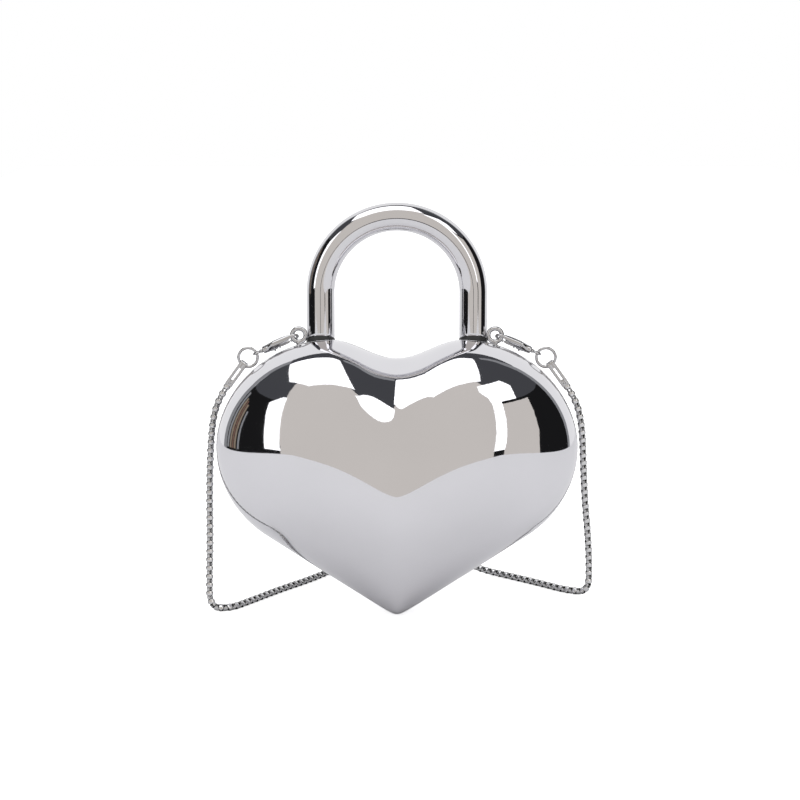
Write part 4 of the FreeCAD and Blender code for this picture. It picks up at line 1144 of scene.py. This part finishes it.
black_wall = glow("black_wall", (0.012, 0.012, 0.0125))
dark_wall = glow("dark_wall", (0.070, 0.072, 0.079))
grey_wall = glow("grey_wall", (0.30, 0.305, 0.315))
warm_shelf = glow("warm_shelf", (0.30, 0.24, 0.18))
red_shelf = glow("red_shelf", (0.22, 0.13, 0.10))
soft_box = glow("soft_box", (1.0, 1.0, 1.0), 2.0)
pale_panel = glow("pale_panel", (0.735, 0.695, 0.645))
for name, nearer, finish, rows in (
        ("room_left_low", 0, black_wall, [(-14, -106, -40), (34, -109, -40)]),
        ("room_left_high", 0, dark_wall, [(34, -109, -40), (57, -118, -40)]),
        ("room_right_low", 0, black_wall, [(-14, 30, 108), (36, 30, 110)]),
        ("room_right_high", 0, dark_wall, [(36, 30, 110), (58, 36, 112), (72, 62, 125)]),
        ("room_edge_left", 0, grey_wall, [(-14, -114, -106), (30, -117, -108), (57, -128, -118)]),
        ("room_edge_right", 0, grey_wall, [(-14, 108, 113), (40, 110, 118), (58, 112, 122), (72, 125, 135)]),
        ("panel_centre", 0.2, pale_panel, [
            (-14, -46, 35), (0, -46, 34.5), (3, -46.3, 36), (35, -52, 38), (51, -56, 40), (60, -54, 33),
            (66, -40, 26)]),
        ("panel_right", 0.2, pale_panel, [(-14, 40, 66), (0, 40, 66), (20, 42, 70), (34, 45, 75)]),
        ("soft_box_left", 0.4, soft_box, [
            (-3, -57, -46), (15, -61, -47.5), (31, -67, -50.5), (38, -56, -52)]),
        ("soft_box_right", 0.4, soft_box, [
            (-1, 34.5, 40.5), (36, 36.5, 45), (36.2, 36.5, 61), (42, 35, 64), (48, 30, 68), (55, 30, 62)]),
        ("stand_low", 0.6, dark_wall, [(-30, -2.4, 1.6), (-6, -2.2, 1.4)])):
    studio_card(name, rows, STUDIO_RADIUS - nearer, finish)
for number, (high, left, right, finish) in enumerate((
        (30, -105, -101, grey_wall), (27, -99.5, -96, warm_shelf), (26, -95, -92.5, red_shelf),
        (24, -91.5, -88.5, warm_shelf), (20, -86, -83.5, grey_wall))):
    rows = [(SHELF_FOOT, left, right), (high, left - 1, right - 1)]
    studio_card("shelf_%d" % number, rows, STUDIO_RADIUS - 0.1, finish)
overhead_card("soft_box_top", [(-0.70, -0.30), (-0.46, -0.56), (0.10, -0.53), (0.36, -0.45), (0.17, 0.17),
                               (-0.56, 0.27)], 4.6, soft_box)
overhead_card("ceiling", [(-1.1, -0.9), (0.75, -0.9), (0.72, 0.42), (-0.95, 0.42)], 9.0, dark_wall)

table_shape = bmesh.new()
table_corners = [(-0.72, -0.88, 0), (0.72, -0.88, 0), (0.72, 3.2, 0), (-0.72, 3.2, 0)]
table_shape.faces.new([table_shape.verts.new(corner) for corner in table_corners])
table = mesh_piece("table", table_shape, closed=False)
table_finish, table_tree, table_base = new_finish("white_table")
table_seen = add_node(table_tree, "LightPath", "Is Camera Ray")
table_lift = add_node(table_tree, "Math", "Value", {0: table_seen, 1: TABLE_LIFT}, operation="MULTIPLY")
feed(table_tree, table_base, {
    "Base Color": (0.86, 0.86, 0.87, 1), "Roughness": 0.9, "Emission Color": (1, 1, 1, 1),
    "Emission Strength": table_lift})
coat(table, table_finish)

world = bpy.data.worlds.new("studio")
bpy.context.scene.world = world
world.use_nodes = True
world_tree = world.node_tree
world_rays = [add_node(world_tree, "LightPath", "Is %s Ray" % kind)
              for kind in ("Camera", "Glossy", "Transmission")]
world_seen = add_node(world_tree, "Math", "Value", {0: world_rays[0], 1: world_rays[1]}, operation="MAXIMUM")
world_clear = add_node(world_tree, "Math", "Value", {0: world_seen, 1: world_rays[2]}, operation="MAXIMUM")
world_level = spread(world_tree, world_clear, ROOM_FILL, 1.0)
feed(world_tree, world_tree.nodes["Background"], {"Color": (1, 1, 1, 1), "Strength": world_level})

for lamp_name, place, size, power in (
        ("lamp_left", (-0.9, -0.7, 1.3), 0.9, 3.0), ("lamp_right", (1.0, -0.5, 1.2), 0.9, 2.0),
        ("lamp_back", (0.0, 1.0, 1.3), 1.1, 2.0)):
    lamp_data = bpy.data.lights.new(lamp_name, "AREA")
    lamp_data.shape = "DISK"
    lamp_data.size = size
    lamp_data.energy = power
    lamp = bpy.data.objects.new(lamp_name, lamp_data)
    bpy.context.scene.collection.objects.link(lamp)
    lamp.location = place
    lamp.rotation_euler = (Vector((0, 0, 0.08)) - Vector(place)).to_track_quat("-Z", "Y").to_euler()
    lamp.visible_glossy = False
    lamp.visible_camera = False

# Camera: a little over a metre in front, 10 degrees down, as the photograph was taken.
camera_data = bpy.data.cameras.new("camera")
camera_data.lens = 99.3
camera_data.sensor_width = 36.0
camera_data.clip_start = 0.05
camera_data.clip_end = 60.0
camera = bpy.data.objects.new("camera", camera_data)
bpy.context.scene.collection.objects.link(camera)
camera.location = (0.0015, -1.079, 0.298)
camera.rotation_euler = (radians(80), 0, 0)
bpy.context.scene.camera = camera
bpy.context.scene.view_settings.view_transform = "Standard"
